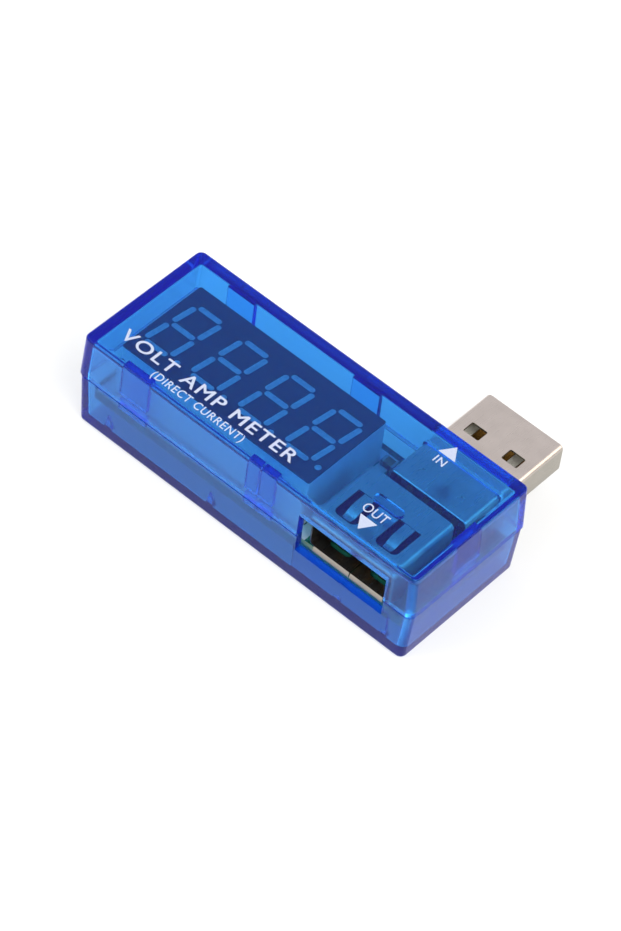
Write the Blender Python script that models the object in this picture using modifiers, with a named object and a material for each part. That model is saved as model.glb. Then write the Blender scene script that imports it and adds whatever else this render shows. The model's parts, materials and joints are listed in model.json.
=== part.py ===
"""USB power meter: a clear blue snap-together case holding a circuit board, a four-digit display,
a USB-A plug at the back of one end and a USB-A socket at the front of the same end.

Units are metres. The origin is the centre of the case's underside, +X runs along the case in the
reading direction of the display, +Y points out along the plug, and +Z is up.
"""
import math

import bmesh
import bpy
from mathutils import Matrix, Vector

MM = 0.001

# Case
PARTING_LENGTH = 53.6 * MM
PARTING_WIDTH = 21.1 * MM
TOP_LENGTH = 52.75 * MM
TOP_WIDTH = 20.9 * MM
BASE_LENGTH = 52.45 * MM
BASE_WIDTH = 20.75 * MM
CASE_HEIGHT = 14.7 * MM
PARTING_Z = 7.95 * MM
SHELL_GAP = 0.08 * MM
LIP_STEP = 0.13 * MM
WALL = 1.1 * MM
ROOF = 1.4 * MM
FLOOR = 1.2 * MM
CORNER_RADIUS = 0.9 * MM
EDGE_RADIUS = 0.45 * MM
TONGUE_HEIGHT = 0.85 * MM
TONGUE_THICKNESS = 0.5 * MM
TONGUE_GAP = 0.08 * MM
PAD_DEPTH = 0.4 * MM
PAD_CENTRES = (-18.2 * MM, 2.1 * MM)
PAD_WIDTH = 4.4 * MM
RIB_PLACES = (-21.8 * MM, -5.0 * MM, 15.35 * MM, 22.7 * MM)

# Circuit board
BOARD_LENGTH = 49.8 * MM
BOARD_WIDTH = 17.9 * MM
BOARD_THICKNESS = 1.6 * MM
BOARD_TOP = 5.95 * MM
FIT_GAP = 0.05 * MM

# Display
DISPLAY_SIZE = (30.1 * MM, 14.0 * MM, 7.1 * MM)
DISPLAY_CENTRE = (-7.7 * MM, -0.45 * MM)
DISPLAY_FACE = 1.0 * MM
DISPLAY_WALL = 0.35 * MM
DIGIT_PITCH = 7.57 * MM
DIGIT_SLANT = math.radians(6.5)
DIGIT_COLUMN = 2.06 * MM
DIGIT_ROW = 4.3 * MM
SEGMENT_WIDTH = 0.8 * MM
SEGMENT_LENGTH = 3.55 * MM
POINT_RADIUS = 0.45 * MM
POINT_OFFSET = 2.9 * MM
PIN_PITCH = 2.54 * MM
PIN_ROW = 5.08 * MM
PIN_RADIUS = 0.25 * MM
PIN_COUNT = 6
LEAD_END = 3.3 * MM

# Connectors
SHEET = 0.3 * MM
CORE_RADIUS = 0.25 * MM
PLUG_SIZE = (12.0 * MM, 18.4 * MM, 4.5 * MM)
PLUG_X = 17.2 * MM
PLUG_TIP = 21.6 * MM
PLUG_WINDOW = (2.4 * MM, 1.9 * MM)
PLUG_WINDOW_X = 3.0 * MM
PLUG_WINDOW_FROM_TIP = 6.05 * MM
PLUG_TONGUE_TOP = 8.15 * MM
PLUG_BLOCK_BACK = 5.4 * MM
PLUG_BLOCK_FRONT = 10.0 * MM
PLUG_LEG_Y = 4.2 * MM
PLUG_SHIELD_Y = 5.9 * MM
SOCKET_SIZE = (13.2 * MM, 10.15 * MM, 5.7 * MM)
SOCKET_X = 16.2 * MM
SOCKET_MOUTH = -8.95 * MM
SOCKET_TONGUE = (8.95 * MM, 10.75 * MM)
SOCKET_TONGUE_TIP = -8.0 * MM
SOCKET_BLOCK = (-1.4 * MM, -0.2 * MM)
SOCKET_LEG_Y = 0.35 * MM
SOCKET_SHIELD_Y = -3.2 * MM
CONNECTOR_Z = BOARD_TOP + FIT_GAP
CONTACT_PLACES = (-3.5 * MM, -1.0 * MM, 1.0 * MM, 3.5 * MM)
CONTACT_THICKNESS = 0.2 * MM
CONTACT_WIDTH = 1.0 * MM
LATCH_X = 3.15 * MM
LATCH_WIDTH = 1.9 * MM
LATCH_SLOT = (3.1 * MM, 4.7 * MM)
LATCH_ROOT = -2.75 * MM
LEAF_ROOT = (-1.5 * MM, 9.45 * MM)

# Openings in the case
WINDOW_X = (8.8 * MM, 22.4 * MM)
WINDOW_TOP = 11.65 * MM
SILL_Z = 5.25 * MM
PLUG_CLEARANCE = 0.12 * MM

# Small parts, in millimetres: places on the board, and for a capacitor its side of it (1 is the top)
CHIPS_WITH_LEGS = (
    ("microcontroller", (7.2, 5.3, 1.8), (-12, -0.4), 10, 0.65),
    ("amplifier", (4.9, 3.9, 1.5), (2.5, -0.4), 4, 1.27),
)
REGULATOR_SIZE = (4.5, 2.5, 1.5)
REGULATOR_PLACE = (-21.5, 0)
SHUNT_SIZE = (6.3, 3.2, 0.7)
SHUNT_PLACE = (18.5, -2.2)
CAPACITOR_SIZE = (2.0, 1.25, 1.0)
CAPACITOR_PLACES = ((-21.5, 4.0, -1), (-21.5, -4.0, -1), (-3.5, 1.0, -1), (8.7, 6.6, 1))
RESISTOR_SIZE = (1.6, 0.8, 0.45)
RESISTOR_PLACES = ((-4.2, -2.6), (-4.2, -0.9), (7.8, -3.0), (7.8, -1.2), (7.8, 0.6), (12.0, 7.2))

PART_NAME = "usb_power_meter"


def in_mm(values):
    """The same numbers of millimetres, in metres."""
    return tuple(value * MM for value in values)


def clear_scene():
    for item in list(bpy.data.objects):
        bpy.data.objects.remove(item)


def new_collection(name):
    collection = bpy.data.collections.new(name)
    bpy.context.scene.collection.children.link(collection)
    return collection


def new_material(name, colour, roughness, metallic=0.0, transmission=0.0):
    material = bpy.data.materials.new(name)
    material.use_nodes = True
    shader = material.node_tree.nodes["Principled BSDF"]
    shader.inputs["Base Color"].default_value = (*colour, 1.0)
    shader.inputs["Roughness"].default_value = roughness
    shader.inputs["Metallic"].default_value = metallic
    shader.inputs["Transmission Weight"].default_value = transmission
    material.diffuse_color = (*colour, 1.0)
    return material


def add_object(name, data, place=(0, 0, 0), material=None):
    """Puts the data in the scene: with a material it is a piece, without one a hidden tool."""
    item = bpy.data.objects.new(name, data)
    item.location = place
    if material is None:
        tools.objects.link(item)
        item.hide_render = True
        item.display_type = "WIRE"
    else:
        pieces.objects.link(item)
        data.materials.append(material)
    return item


def mesh_from(builder, name):
    mesh = bpy.data.meshes.new(name)
    builder.to_mesh(mesh)
    builder.free()
    return mesh


def edges_along(builder, axis):
    return [
        edge
        for edge in builder.edges
        if abs((edge.verts[1].co - edge.verts[0].co).normalized()[axis]) > 0.9
    ]


def round_edges(builder, edges, radius, segments):
    bmesh.ops.bevel(
        builder,
        geom=edges,
        offset=radius,
        offset_type="OFFSET",
        segments=segments,
        profile=0.5,
        affect="EDGES",
    )


def box(name, size, place, material=None, radius=0.0, axis=2, segments=3):
    """A box centred on its own origin, with the edges along one axis rounded if a radius is given."""
    builder = bmesh.new()
    bmesh.ops.create_cube(builder, size=1.0)
    bmesh.ops.scale(builder, vec=Vector(size), verts=builder.verts)
    if radius:
        round_edges(builder, edges_along(builder, axis), radius, segments)
    return add_object(name, mesh_from(builder, name), place, material)


def span_box(name, low, high, material=None, radius=0.0, axis=2):
    """A box given by its two opposite corners."""
    size = [b - a for a, b in zip(low, high)]
    centre = [(a + b) / 2 for a, b in zip(low, high)]
    return box(name, size, centre, material, radius, axis)


def cylinder(name, radius, depth, place, material=None, sides=16):
    builder = bmesh.new()
    bmesh.ops.create_cone(
        builder, cap_ends=True, segments=sides, radius1=radius, radius2=radius, depth=depth
    )
    return add_object(name, mesh_from(builder, name), place, material)


def drafted_block(name, low_size, high_size, low_z, high_z, corner, material=None):
    """A block that tapers from one rectangle to another, with rounded upright corners."""
    builder = bmesh.new()
    bmesh.ops.create_cube(builder, size=1.0)
    for vertex in builder.verts:
        size, height = (high_size, high_z) if vertex.co.z > 0 else (low_size, low_z)
        vertex.co = Vector((vertex.co.x * size[0], vertex.co.y * size[1], height))
    round_edges(builder, edges_along(builder, 2), corner, 4)
    return add_object(name, mesh_from(builder, name), (0, 0, 0), material)


def round_rim(item, height, radius):
    """Rounds the rim of a block at one height."""
    builder = bmesh.new()
    builder.from_mesh(item.data)
    rim = [
        edge
        for edge in builder.edges
        if all(abs(vertex.co.z - height) < 1e-6 for vertex in edge.verts)
    ]
    round_edges(builder, rim, radius, 3)
    builder.to_mesh(item.data)
    builder.free()


def combine(item, tool, operation):
    modifier = item.modifiers.new(f"{operation.lower()} {tool.name}", "BOOLEAN")
    modifier.operation = operation
    modifier.object = tool


def cut(item, *cutters):
    for cutter in cutters:
        combine(item, cutter, "DIFFERENCE")


def join(item, *others):
    for other in others:
        combine(item, other, "UNION")


def merged(name, items):
    """One hidden tool from several separate ones."""
    builder = bmesh.new()
    for item in items:
        mesh = item.data.copy()
        mesh.transform(Matrix.LocRotScale(item.location, item.rotation_euler, item.scale))
        builder.from_mesh(mesh)
        bpy.data.meshes.remove(mesh)
        bpy.data.objects.remove(item)
    return add_object(name, mesh_from(builder, name))


def ribbon(name, path, x, width, thickness, material, pivot=(0, 0)):
    """A bent metal strip: a path in the upright YZ plane, as wide as given along X.

    Its origin is at the pivot, which is the (y, z) of a hinge line when the strip moves.
    """
    curve = bpy.data.curves.new(name, "CURVE")
    curve.dimensions = "2D"
    curve.fill_mode = "NONE"
    curve.extrude = width / 2
    spline = curve.splines.new("POLY")
    spline.points.add(len(path) - 1)
    for point, (y, z) in zip(spline.points, path):
        point.co = (y - pivot[0], z - pivot[1], 0, 1)
    guide = add_object(name + "_guide", curve)
    bpy.context.view_layer.update()
    evaluated = guide.evaluated_get(bpy.context.evaluated_depsgraph_get())
    mesh = bpy.data.meshes.new_from_object(evaluated)
    mesh.name = name
    bpy.data.objects.remove(guide)
    builder = bmesh.new()
    builder.from_mesh(mesh)
    bmesh.ops.remove_doubles(builder, verts=builder.verts, dist=1e-6)
    builder.to_mesh(mesh)
    builder.free()
    upright = Matrix(((0, 0, 1), (1, 0, 0), (0, 1, 0))).to_4x4()
    mesh.transform(upright)
    strip = add_object(name, mesh, (x, pivot[0], pivot[1]), material)
    solidify = strip.modifiers.new("thickness", "SOLIDIFY")
    solidify.thickness = thickness
    solidify.offset = 0.0
    solidify.use_even_offset = True
    return strip


# ---- Case -------------------------------------------------------------------------------------


def shrunk(length, width, margin):
    return (length - 2 * margin, width - 2 * margin)


def half_size_at(height):
    """Half the case's outer length and width at a height."""
    if height > PARTING_Z:
        blend = (height - PARTING_Z) / (CASE_HEIGHT - PARTING_Z)
        end = (TOP_LENGTH, TOP_WIDTH)
    else:
        blend = (PARTING_Z - height) / PARTING_Z
        end = (BASE_LENGTH, BASE_WIDTH)
    length = PARTING_LENGTH + (end[0] - PARTING_LENGTH) * blend
    width = PARTING_WIDTH + (end[1] - PARTING_WIDTH) * blend
    return length / 2, width / 2


def wall_pads(name, low_z, high_z):
    """Thickened stretches on the inside of the long walls, two on each, and one on the end wall."""
    overlap = 0.3 * MM
    half_length, half_width = half_size_at((low_z + high_z) / 2)
    inner_y = half_width - WALL
    inner_x = half_length - WALL
    pads = []
    for side in (-1, 1):
        for centre in PAD_CENTRES:
            size = (PAD_WIDTH, PAD_DEPTH + overlap, high_z - low_z)
            place = (centre, side * (inner_y - (PAD_DEPTH - overlap) / 2), (low_z + high_z) / 2)
            pads.append(box("pad", size, place))
    end_size = (PAD_DEPTH + overlap, PAD_WIDTH, high_z - low_z)
    end_place = (inner_x - (PAD_DEPTH - overlap) / 2, 0, (low_z + high_z) / 2)
    pads.append(box("pad", end_size, end_place))
    return merged(name, pads)


def plug_doorway():
    margin = PLUG_CLEARANCE
    low = (PLUG_X - PLUG_SIZE[0] / 2 - margin, 7.5 * MM, CONNECTOR_Z - margin)
    high = (PLUG_X + PLUG_SIZE[0] / 2 + margin, 12 * MM, CONNECTOR_Z + PLUG_SIZE[2] + margin)
    return span_box("plug_doorway", low, high, radius=0.5 * MM, axis=1)


def socket_window():
    low = (WINDOW_X[0], -12 * MM, SILL_Z)
    high = (WINDOW_X[1], -8.3 * MM, WINDOW_TOP)
    return span_box("socket_window", low, high)


def tongue_ring(name, low_z, high_z, thickness, inset):
    """A ring that follows the parting outline inside the wall, for the shells' tongue and groove."""
    outer = shrunk(PARTING_LENGTH, PARTING_WIDTH, inset)
    inner = shrunk(PARTING_LENGTH, PARTING_WIDTH, inset + thickness)
    corner = CORNER_RADIUS / 2
    ring = drafted_block(name, outer, outer, low_z, high_z, corner)
    core = drafted_block(name + "_core", inner, inner, low_z - MM, high_z + MM, corner)
    cut(ring, core)
    return ring


def top_shell(material):
    base_z = PARTING_Z + SHELL_GAP / 2
    outer = drafted_block(
        "top_shell",
        (PARTING_LENGTH, PARTING_WIDTH),
        (TOP_LENGTH, TOP_WIDTH),
        base_z,
        CASE_HEIGHT,
        CORNER_RADIUS,
        material,
    )
    round_rim(outer, CASE_HEIGHT, EDGE_RADIUS)
    hollow = drafted_block(
        "top_hollow",
        shrunk(PARTING_LENGTH, PARTING_WIDTH, WALL),
        shrunk(TOP_LENGTH, TOP_WIDTH, WALL),
        base_z - MM,
        CASE_HEIGHT - ROOF,
        CORNER_RADIUS / 2,
    )
    groove_thickness = TONGUE_THICKNESS + TONGUE_GAP + 0.3 * MM
    groove_inset = WALL - TONGUE_THICKNESS - TONGUE_GAP
    groove_top = base_z + TONGUE_HEIGHT + TONGUE_GAP
    groove = tongue_ring("groove", base_z - MM, groove_top, groove_thickness, groove_inset)
    pads = wall_pads("top_pads", groove_top, CASE_HEIGHT - ROOF + 0.3 * MM)
    boss_size = (4.4 * MM, 1.25 * MM, 1.3 * MM)
    boss_place = (15.9 * MM, -2.7 * MM, CASE_HEIGHT - ROOF - 0.35 * MM)
    boss = box("roof_boss", boss_size, boss_place, radius=0.6 * MM, segments=4)
    cut(outer, hollow, groove)
    join(outer, pads, boss)
    cut(outer, bpy.data.objects["plug_doorway"], bpy.data.objects["socket_window"])
    return outer


def support_ribs():
    """Tapered ribs inside the long walls that carry the circuit board."""
    top_z = BOARD_TOP - BOARD_THICKNESS - FIT_GAP
    low_z = FLOOR - 0.3 * MM
    inner_y = half_size_at(2 * MM)[1] - WALL
    ribs = []
    for side in (-1, 1):
        for x in RIB_PLACES:
            rib = drafted_block(
                "rib", (1.3 * MM, 1.6 * MM), (0.6 * MM, 1.6 * MM), low_z, top_z, 0.1 * MM
            )
            rib.location = (x, side * (inner_y - 0.3 * MM), 0)
            ribs.append(rib)
    return merged("support_ribs", ribs)


def bottom_shell(material):
    rim_z = PARTING_Z - SHELL_GAP / 2
    outer = drafted_block(
        "bottom_shell",
        (BASE_LENGTH, BASE_WIDTH),
        shrunk(PARTING_LENGTH, PARTING_WIDTH, LIP_STEP),
        0,
        rim_z,
        CORNER_RADIUS,
        material,
    )
    round_rim(outer, 0, EDGE_RADIUS)
    hollow = drafted_block(
        "bottom_hollow",
        shrunk(BASE_LENGTH, BASE_WIDTH, WALL),
        shrunk(PARTING_LENGTH, PARTING_WIDTH, WALL),
        FLOOR,
        rim_z + MM,
        CORNER_RADIUS / 2,
    )
    inset = WALL - TONGUE_THICKNESS
    tongue = tongue_ring("tongue", rim_z - 0.4 * MM, rim_z + TONGUE_HEIGHT, TONGUE_THICKNESS, inset)
    pads = wall_pads("bottom_pads", BOARD_TOP + 0.3 * MM, rim_z)
    cut(outer, hollow)
    join(outer, tongue, pads, support_ribs())
    cut(outer, bpy.data.objects["plug_doorway"], bpy.data.objects["socket_window"])
    return outer


# ---- Circuit board ----------------------------------------------------------------------------


def display_pin_places():
    for row in (-PIN_ROW, PIN_ROW):
        for column in range(PIN_COUNT):
            x = DISPLAY_CENTRE[0] + (column - (PIN_COUNT - 1) / 2) * PIN_PITCH
            yield x, DISPLAY_CENTRE[1] + row


def board_holes():
    """Holes for the display's pins and for the connectors' legs."""
    depth = 3 * BOARD_THICKNESS
    middle = BOARD_TOP - BOARD_THICKNESS / 2
    holes = []
    for x, y in display_pin_places():
        holes.append(cylinder("hole", 0.4 * MM, depth, (x, y, middle), sides=12))
    for row_x, row_y in ((PLUG_X, PLUG_LEG_Y), (SOCKET_X, SOCKET_LEG_Y)):
        for offset in CONTACT_PLACES:
            holes.append(cylinder("hole", 0.6 * MM, depth, (row_x + offset, row_y, middle), sides=12))
    for x, y in shield_leg_places():
        holes.append(box("hole", (0.8 * MM, 2.3 * MM, depth), (x, y, middle)))
    return merged("board_holes", holes)


def shield_leg_places():
    for side in (-1, 1):
        yield PLUG_X + side * (PLUG_SIZE[0] - SHEET) / 2, PLUG_SHIELD_Y
        yield SOCKET_X + side * (SOCKET_SIZE[0] - SHEET) / 2, SOCKET_SHIELD_Y


def circuit_board(material):
    size = (BOARD_LENGTH, BOARD_WIDTH, BOARD_THICKNESS)
    place = (0, 0, BOARD_TOP - BOARD_THICKNESS / 2)
    board = box("circuit_board", size, place, material, radius=0.5 * MM)
    cut(board, board_holes())
    return board


# ---- Display ----------------------------------------------------------------------------------


def segment_places(digit_x):
    """Centre and turn of each of the seven bars of one slanted digit."""
    lean = math.tan(DIGIT_SLANT)
    for row in (-1, 0, 1):
        y = row * DIGIT_ROW
        yield digit_x + y * lean, y, math.pi / 2
    for row in (-1, 1):
        for column in (-1, 1):
            y = row * DIGIT_ROW / 2
            yield digit_x + column * DIGIT_COLUMN + y * lean, y, -DIGIT_SLANT


def display_bars(name, low_z, high_z, margin):
    """All the bars and points of the four digits, as one tool."""
    middle = (low_z + high_z) / 2
    depth = high_z - low_z
    bars = []
    for digit in range(4):
        digit_x = (digit - 1.5) * DIGIT_PITCH - 0.15 * MM
        for x, y, turn in segment_places(digit_x):
            size = (SEGMENT_WIDTH + 2 * margin, SEGMENT_LENGTH + 2 * margin, depth)
            place = (DISPLAY_CENTRE[0] + x, DISPLAY_CENTRE[1] + y, middle)
            bar = box("bar", size, place, radius=0.36 * MM, segments=2)
            bar.rotation_euler = (0, 0, turn)
            bars.append(bar)
        place = (
            DISPLAY_CENTRE[0] + digit_x + POINT_OFFSET,
            DISPLAY_CENTRE[1] - DIGIT_ROW,
            middle,
        )
        bars.append(cylinder("point", POINT_RADIUS + margin, depth, place, sides=12))
    return merged(name, bars)


def display_housing(material):
    base_z = BOARD_TOP + FIT_GAP
    top_z = base_z + DISPLAY_SIZE[2]
    place = (*DISPLAY_CENTRE, (base_z + top_z) / 2)
    housing = box("display_housing", DISPLAY_SIZE, place, material)
    pocket_low = (
        DISPLAY_CENTRE[0] - DISPLAY_SIZE[0] / 2 + DISPLAY_WALL,
        DISPLAY_CENTRE[1] - DISPLAY_SIZE[1] / 2 + DISPLAY_WALL,
        base_z - MM,
    )
    pocket_high = (
        DISPLAY_CENTRE[0] + DISPLAY_SIZE[0] / 2 - DISPLAY_WALL,
        DISPLAY_CENTRE[1] + DISPLAY_SIZE[1] / 2 - DISPLAY_WALL,
        top_z - DISPLAY_FACE,
    )
    cut(housing, span_box("display_pocket", pocket_low, pocket_high))
    cut(housing, display_bars("segment_slots", top_z - 2 * MM, top_z + MM, 0.04 * MM))
    return housing


def display_resin(material):
    """The clear casting resin: one block behind the face, standing up through its 32 openings."""
    base_z = BOARD_TOP + 0.2 * MM
    face_z = BOARD_TOP + FIT_GAP + DISPLAY_SIZE[2]
    margin = DISPLAY_WALL + FIT_GAP
    block_top = face_z - DISPLAY_FACE - FIT_GAP
    size = (DISPLAY_SIZE[0] - 2 * margin, DISPLAY_SIZE[1] - 2 * margin, block_top - base_z)
    resin = box("display_resin", size, (*DISPLAY_CENTRE, (base_z + block_top) / 2), material)
    bars = display_bars("segment_bars", block_top - 0.5 * MM, face_z - 0.02 * MM, 0)
    join(resin, bars)
    return resin


def display_pins(material):
    top_z = BOARD_TOP + 0.15 * MM
    depth = top_z - LEAD_END
    for number, (x, y) in enumerate(display_pin_places(), 1):
        place = (x, y, LEAD_END + depth / 2)
        cylinder(f"display_pin_{number}", PIN_RADIUS, depth, place, material, sides=10)


# ---- Plug -------------------------------------------------------------------------------------


def shield_tube(name, size, x, back_y, material, back_wall=0.0):
    """A rectangular sheet-metal tube along Y, standing on the board from back_y forwards."""
    centre = (x, back_y + size[1] / 2, CONNECTOR_Z + size[2] / 2)
    tube = box(name, size, centre, material, radius=0.55 * MM, axis=1)
    inner_size = (size[0] - 2 * SHEET, size[1] + 4 * MM, size[2] - 2 * SHEET)
    inner = box(name + "_bore", inner_size, centre, radius=0.3 * MM, axis=1)
    if back_wall:
        inner.location.y -= 2 * MM + back_wall
    cut(tube, inner)
    return tube


def shield_legs(name, x, width, y):
    legs = []
    for side in (-1, 1):
        leg_x = x + side * (width - SHEET) / 2
        low = (leg_x - SHEET / 2, y - 0.9 * MM, LEAD_END)
        high = (leg_x + SHEET / 2, y + 0.9 * MM, CONNECTOR_Z + 1.5 * MM)
        legs.append(span_box("leg", low, high))
    return merged(name, legs)


def plug_shell(material):
    back_y = PLUG_TIP - PLUG_SIZE[1]
    shell = shield_tube("plug_shell", PLUG_SIZE, PLUG_X, back_y, material)
    join(shell, shield_legs("plug_legs", PLUG_X, PLUG_SIZE[0], PLUG_SHIELD_Y))
    windows = []
    for side in (-1, 1):
        size = (*PLUG_WINDOW, PLUG_SIZE[2] + 2 * MM)
        place = (
            PLUG_X + side * PLUG_WINDOW_X,
            PLUG_TIP - PLUG_WINDOW_FROM_TIP,
            CONNECTOR_Z + PLUG_SIZE[2] / 2,
        )
        windows.append(box("window", size, place, radius=0.2 * MM))
    low = (PLUG_X - 4.6 * MM, back_y - MM, CONNECTOR_Z - MM)
    high = (PLUG_X + 4.6 * MM, 5.2 * MM, CONNECTOR_Z + MM)
    windows.append(span_box("window", low, high))
    cut(shell, merged("plug_openings", windows))
    return shell


def contact_slots(name, x, low_y, high_y, low_z, high_z, width=1.2 * MM):
    slots = []
    for offset in CONTACT_PLACES:
        low = (x + offset - width / 2, low_y, low_z)
        high = (x + offset + width / 2, high_y, high_z)
        slots.append(span_box("slot", low, high))
    return merged(name, slots)


def plug_insulator(material):
    """The plastic core of the plug: a block that fills the tube's rear, and a tongue along its floor."""
    half = PLUG_SIZE[0] / 2 - SHEET - 0.1 * MM
    floor_z = CONNECTOR_Z + SHEET + FIT_GAP
    roof_z = CONNECTOR_Z + PLUG_SIZE[2] - SHEET - FIT_GAP
    low = (PLUG_X - half, PLUG_BLOCK_BACK, floor_z)
    tongue_high = (PLUG_X + half, PLUG_TIP - 0.5 * MM, PLUG_TONGUE_TOP)
    core = span_box("plug_insulator", low, tongue_high, material, CORE_RADIUS, axis=1)
    block_high = (PLUG_X + half, PLUG_BLOCK_FRONT, roof_z)
    block_low = (low[0], low[1], floor_z)
    join(core, span_box("plug_block", block_low, block_high, None, CORE_RADIUS, axis=1))
    slot_low = PLUG_TONGUE_TOP - CONTACT_THICKNESS - FIT_GAP
    slots = contact_slots(
        "plug_slots", PLUG_X, 4 * MM, PLUG_TIP - 0.9 * MM, slot_low, PLUG_TONGUE_TOP + FIT_GAP
    )
    cut(core, slots)
    return core


def plug_contacts(material):
    """Four flat strips, the outer two reaching nearer the tip, bent down through the board."""
    z = PLUG_TONGUE_TOP - CONTACT_THICKNESS / 2 - FIT_GAP / 2
    for number, offset in enumerate(CONTACT_PLACES, 1):
        outer = abs(offset) > 2 * MM
        front = PLUG_TIP - (1.2 * MM if outer else 2.2 * MM)
        path = ((front, z), (PLUG_LEG_Y + 0.4 * MM, z), (PLUG_LEG_Y, z - 0.4 * MM), (PLUG_LEG_Y, LEAD_END))
        name = f"plug_contact_{number}"
        ribbon(name, path, PLUG_X + offset, CONTACT_WIDTH, CONTACT_THICKNESS, material)


# ---- Socket -----------------------------------------------------------------------------------


def latch_slots():
    """Openings in the socket's roof and floor around its four latch springs."""
    slots = []
    for side in (-1, 1):
        for z in (CONNECTOR_Z, CONNECTOR_Z + SOCKET_SIZE[2]):
            size = (*LATCH_SLOT, 2 * MM)
            place = (SOCKET_X + side * LATCH_X, LATCH_ROOT - LATCH_SLOT[1] / 2, z)
            slots.append(box("slot", size, place))
    return merged("latch_slots", slots)


def socket_shell(material):
    back_wall = SHEET
    shell = shield_tube("socket_shell", SOCKET_SIZE, SOCKET_X, SOCKET_MOUTH, material, back_wall)
    join(shell, shield_legs("socket_legs", SOCKET_X, SOCKET_SIZE[0], SOCKET_SHIELD_Y))
    back_y = SOCKET_MOUTH + SOCKET_SIZE[1]
    low = (SOCKET_X - 4.6 * MM, -0.3 * MM, CONNECTOR_Z - MM)
    high = (SOCKET_X + 4.6 * MM, back_y - SHEET, CONNECTOR_Z + MM)
    tail_opening = span_box("tail_opening", low, high)
    seam_low = (SOCKET_X - 0.07 * MM, SOCKET_MOUTH - MM, CONNECTOR_Z - MM)
    seam_high = (SOCKET_X + 0.07 * MM, -MM, CONNECTOR_Z + MM)
    seam = span_box("floor_seam", seam_low, seam_high)
    cut(shell, latch_slots(), tail_opening, seam)
    return shell


def socket_insulator(material):
    """The socket's plastic core: a rear block and a tongue with a groove under it for each contact."""
    half = SOCKET_SIZE[0] / 2 - SHEET - 0.1 * MM
    floor_z = CONNECTOR_Z + SHEET + FIT_GAP
    roof_z = CONNECTOR_Z + SOCKET_SIZE[2] - SHEET - FIT_GAP
    low = (SOCKET_X - half, SOCKET_BLOCK[0], floor_z)
    high = (SOCKET_X + half, SOCKET_BLOCK[1], roof_z)
    core = span_box("socket_insulator", low, high, material, CORE_RADIUS, axis=1)
    tongue_low = (SOCKET_X - 5.55 * MM, SOCKET_TONGUE_TIP, SOCKET_TONGUE[0])
    tongue_high = (SOCKET_X + 5.55 * MM, SOCKET_BLOCK[0] + 0.5 * MM, SOCKET_TONGUE[1])
    join(core, span_box("socket_tongue", tongue_low, tongue_high))
    grooves = contact_slots(
        "leaf_grooves", SOCKET_X, -7.4 * MM, SOCKET_BLOCK[0], SOCKET_TONGUE[0] - MM, 10.1 * MM, 1.3 * MM
    )
    tail_slots = contact_slots(
        "tail_slots", SOCKET_X, -1.6 * MM, MM, LEAF_ROOT[1] - 0.2 * MM, LEAF_ROOT[1] + 0.2 * MM
    )
    cut(core, grooves, tail_slots)
    return core


def socket_contacts(material):
    """Each contact is a springy leaf under the tongue and a fixed tail that goes through the board."""
    y, z = LEAF_ROOT
    leaf_path = ((y, z), (-5.2 * MM, 8.8 * MM), (-5.7 * MM, 8.78 * MM), (-6.7 * MM, 9.2 * MM))
    turn_y = SOCKET_LEG_Y
    tail_path = ((y + 0.15 * MM, z), (turn_y - 0.4 * MM, z), (turn_y, z - 0.4 * MM), (turn_y, LEAD_END))
    for number, offset in enumerate(CONTACT_PLACES, 1):
        x = SOCKET_X + offset
        leaf = f"socket_contact_leaf_{number}"
        tail = f"socket_contact_tail_{number}"
        ribbon(leaf, leaf_path, x, CONTACT_WIDTH, CONTACT_THICKNESS, material, LEAF_ROOT)
        ribbon(tail, tail_path, x, CONTACT_WIDTH, CONTACT_THICKNESS, material)


def latch_springs(material):
    """Fingers cut from the socket's roof and floor, bent inwards, free towards the mouth."""
    for level, inward, dip in (("top", -1, 0.42 * MM), ("bottom", 1, 0.32 * MM)):
        plate = CONNECTOR_Z + SHEET / 2
        if level == "top":
            plate += SOCKET_SIZE[2] - SHEET
        root = LATCH_ROOT - FIT_GAP
        path = (
            (root, plate),
            (root - 1.0 * MM, plate + inward * 0.1 * dip),
            (root - 3.1 * MM, plate + inward * dip),
            (root - 4.2 * MM, plate + inward * 0.75 * dip),
        )
        for side, label in ((-1, "left"), (1, "right")):
            name = f"latch_spring_{level}_{label}"
            x = SOCKET_X + side * LATCH_X
            ribbon(name, path, x, LATCH_WIDTH, 0.25 * MM, material, (root, plate))


# ---- Parts soldered under the board -----------------------------------------------------------


def chip(name, size, place, leads, pitch, material):
    """A moulded chip hanging under the board, with gull-wing leads down both long sides."""
    under = BOARD_TOP - BOARD_THICKNESS - FIT_GAP
    body_top = under - 0.15 * MM
    body = box(name, size, (*place, body_top - size[2] / 2), material)
    wings = []
    for side in (-1, 1):
        for index in range(leads):
            x = place[0] + (index - (leads - 1) / 2) * pitch
            edge = place[1] + side * size[1] / 2
            upper = (0.36 * MM, 0.8 * MM, 0.2 * MM)
            wings.append(box("wing", upper, (x, edge + side * 0.3 * MM, body_top - size[2] / 2)))
            shank = (0.36 * MM, 0.2 * MM, size[2] / 2 + 0.25 * MM)
            shank_z = under - shank[2] / 2
            wings.append(box("wing", shank, (x, edge + side * 0.62 * MM, shank_z)))
            foot = (0.36 * MM, 0.7 * MM, 0.2 * MM)
            wings.append(box("wing", foot, (x, edge + side * 0.9 * MM, under - 0.1 * MM)))
    for index, wing in enumerate(wings):
        wing.name = f"{name}_wing_{index}"
        join(body, wing)
    return body


def chip_part(name, size, place, material, side=-1):
    """A small block component soldered flat under the board, or on top of it with side 1."""
    if side < 0:
        z = BOARD_TOP - BOARD_THICKNESS - FIT_GAP - size[2] / 2
    else:
        z = BOARD_TOP + FIT_GAP + size[2] / 2
    return box(name, size, (*place, z), material)


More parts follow.
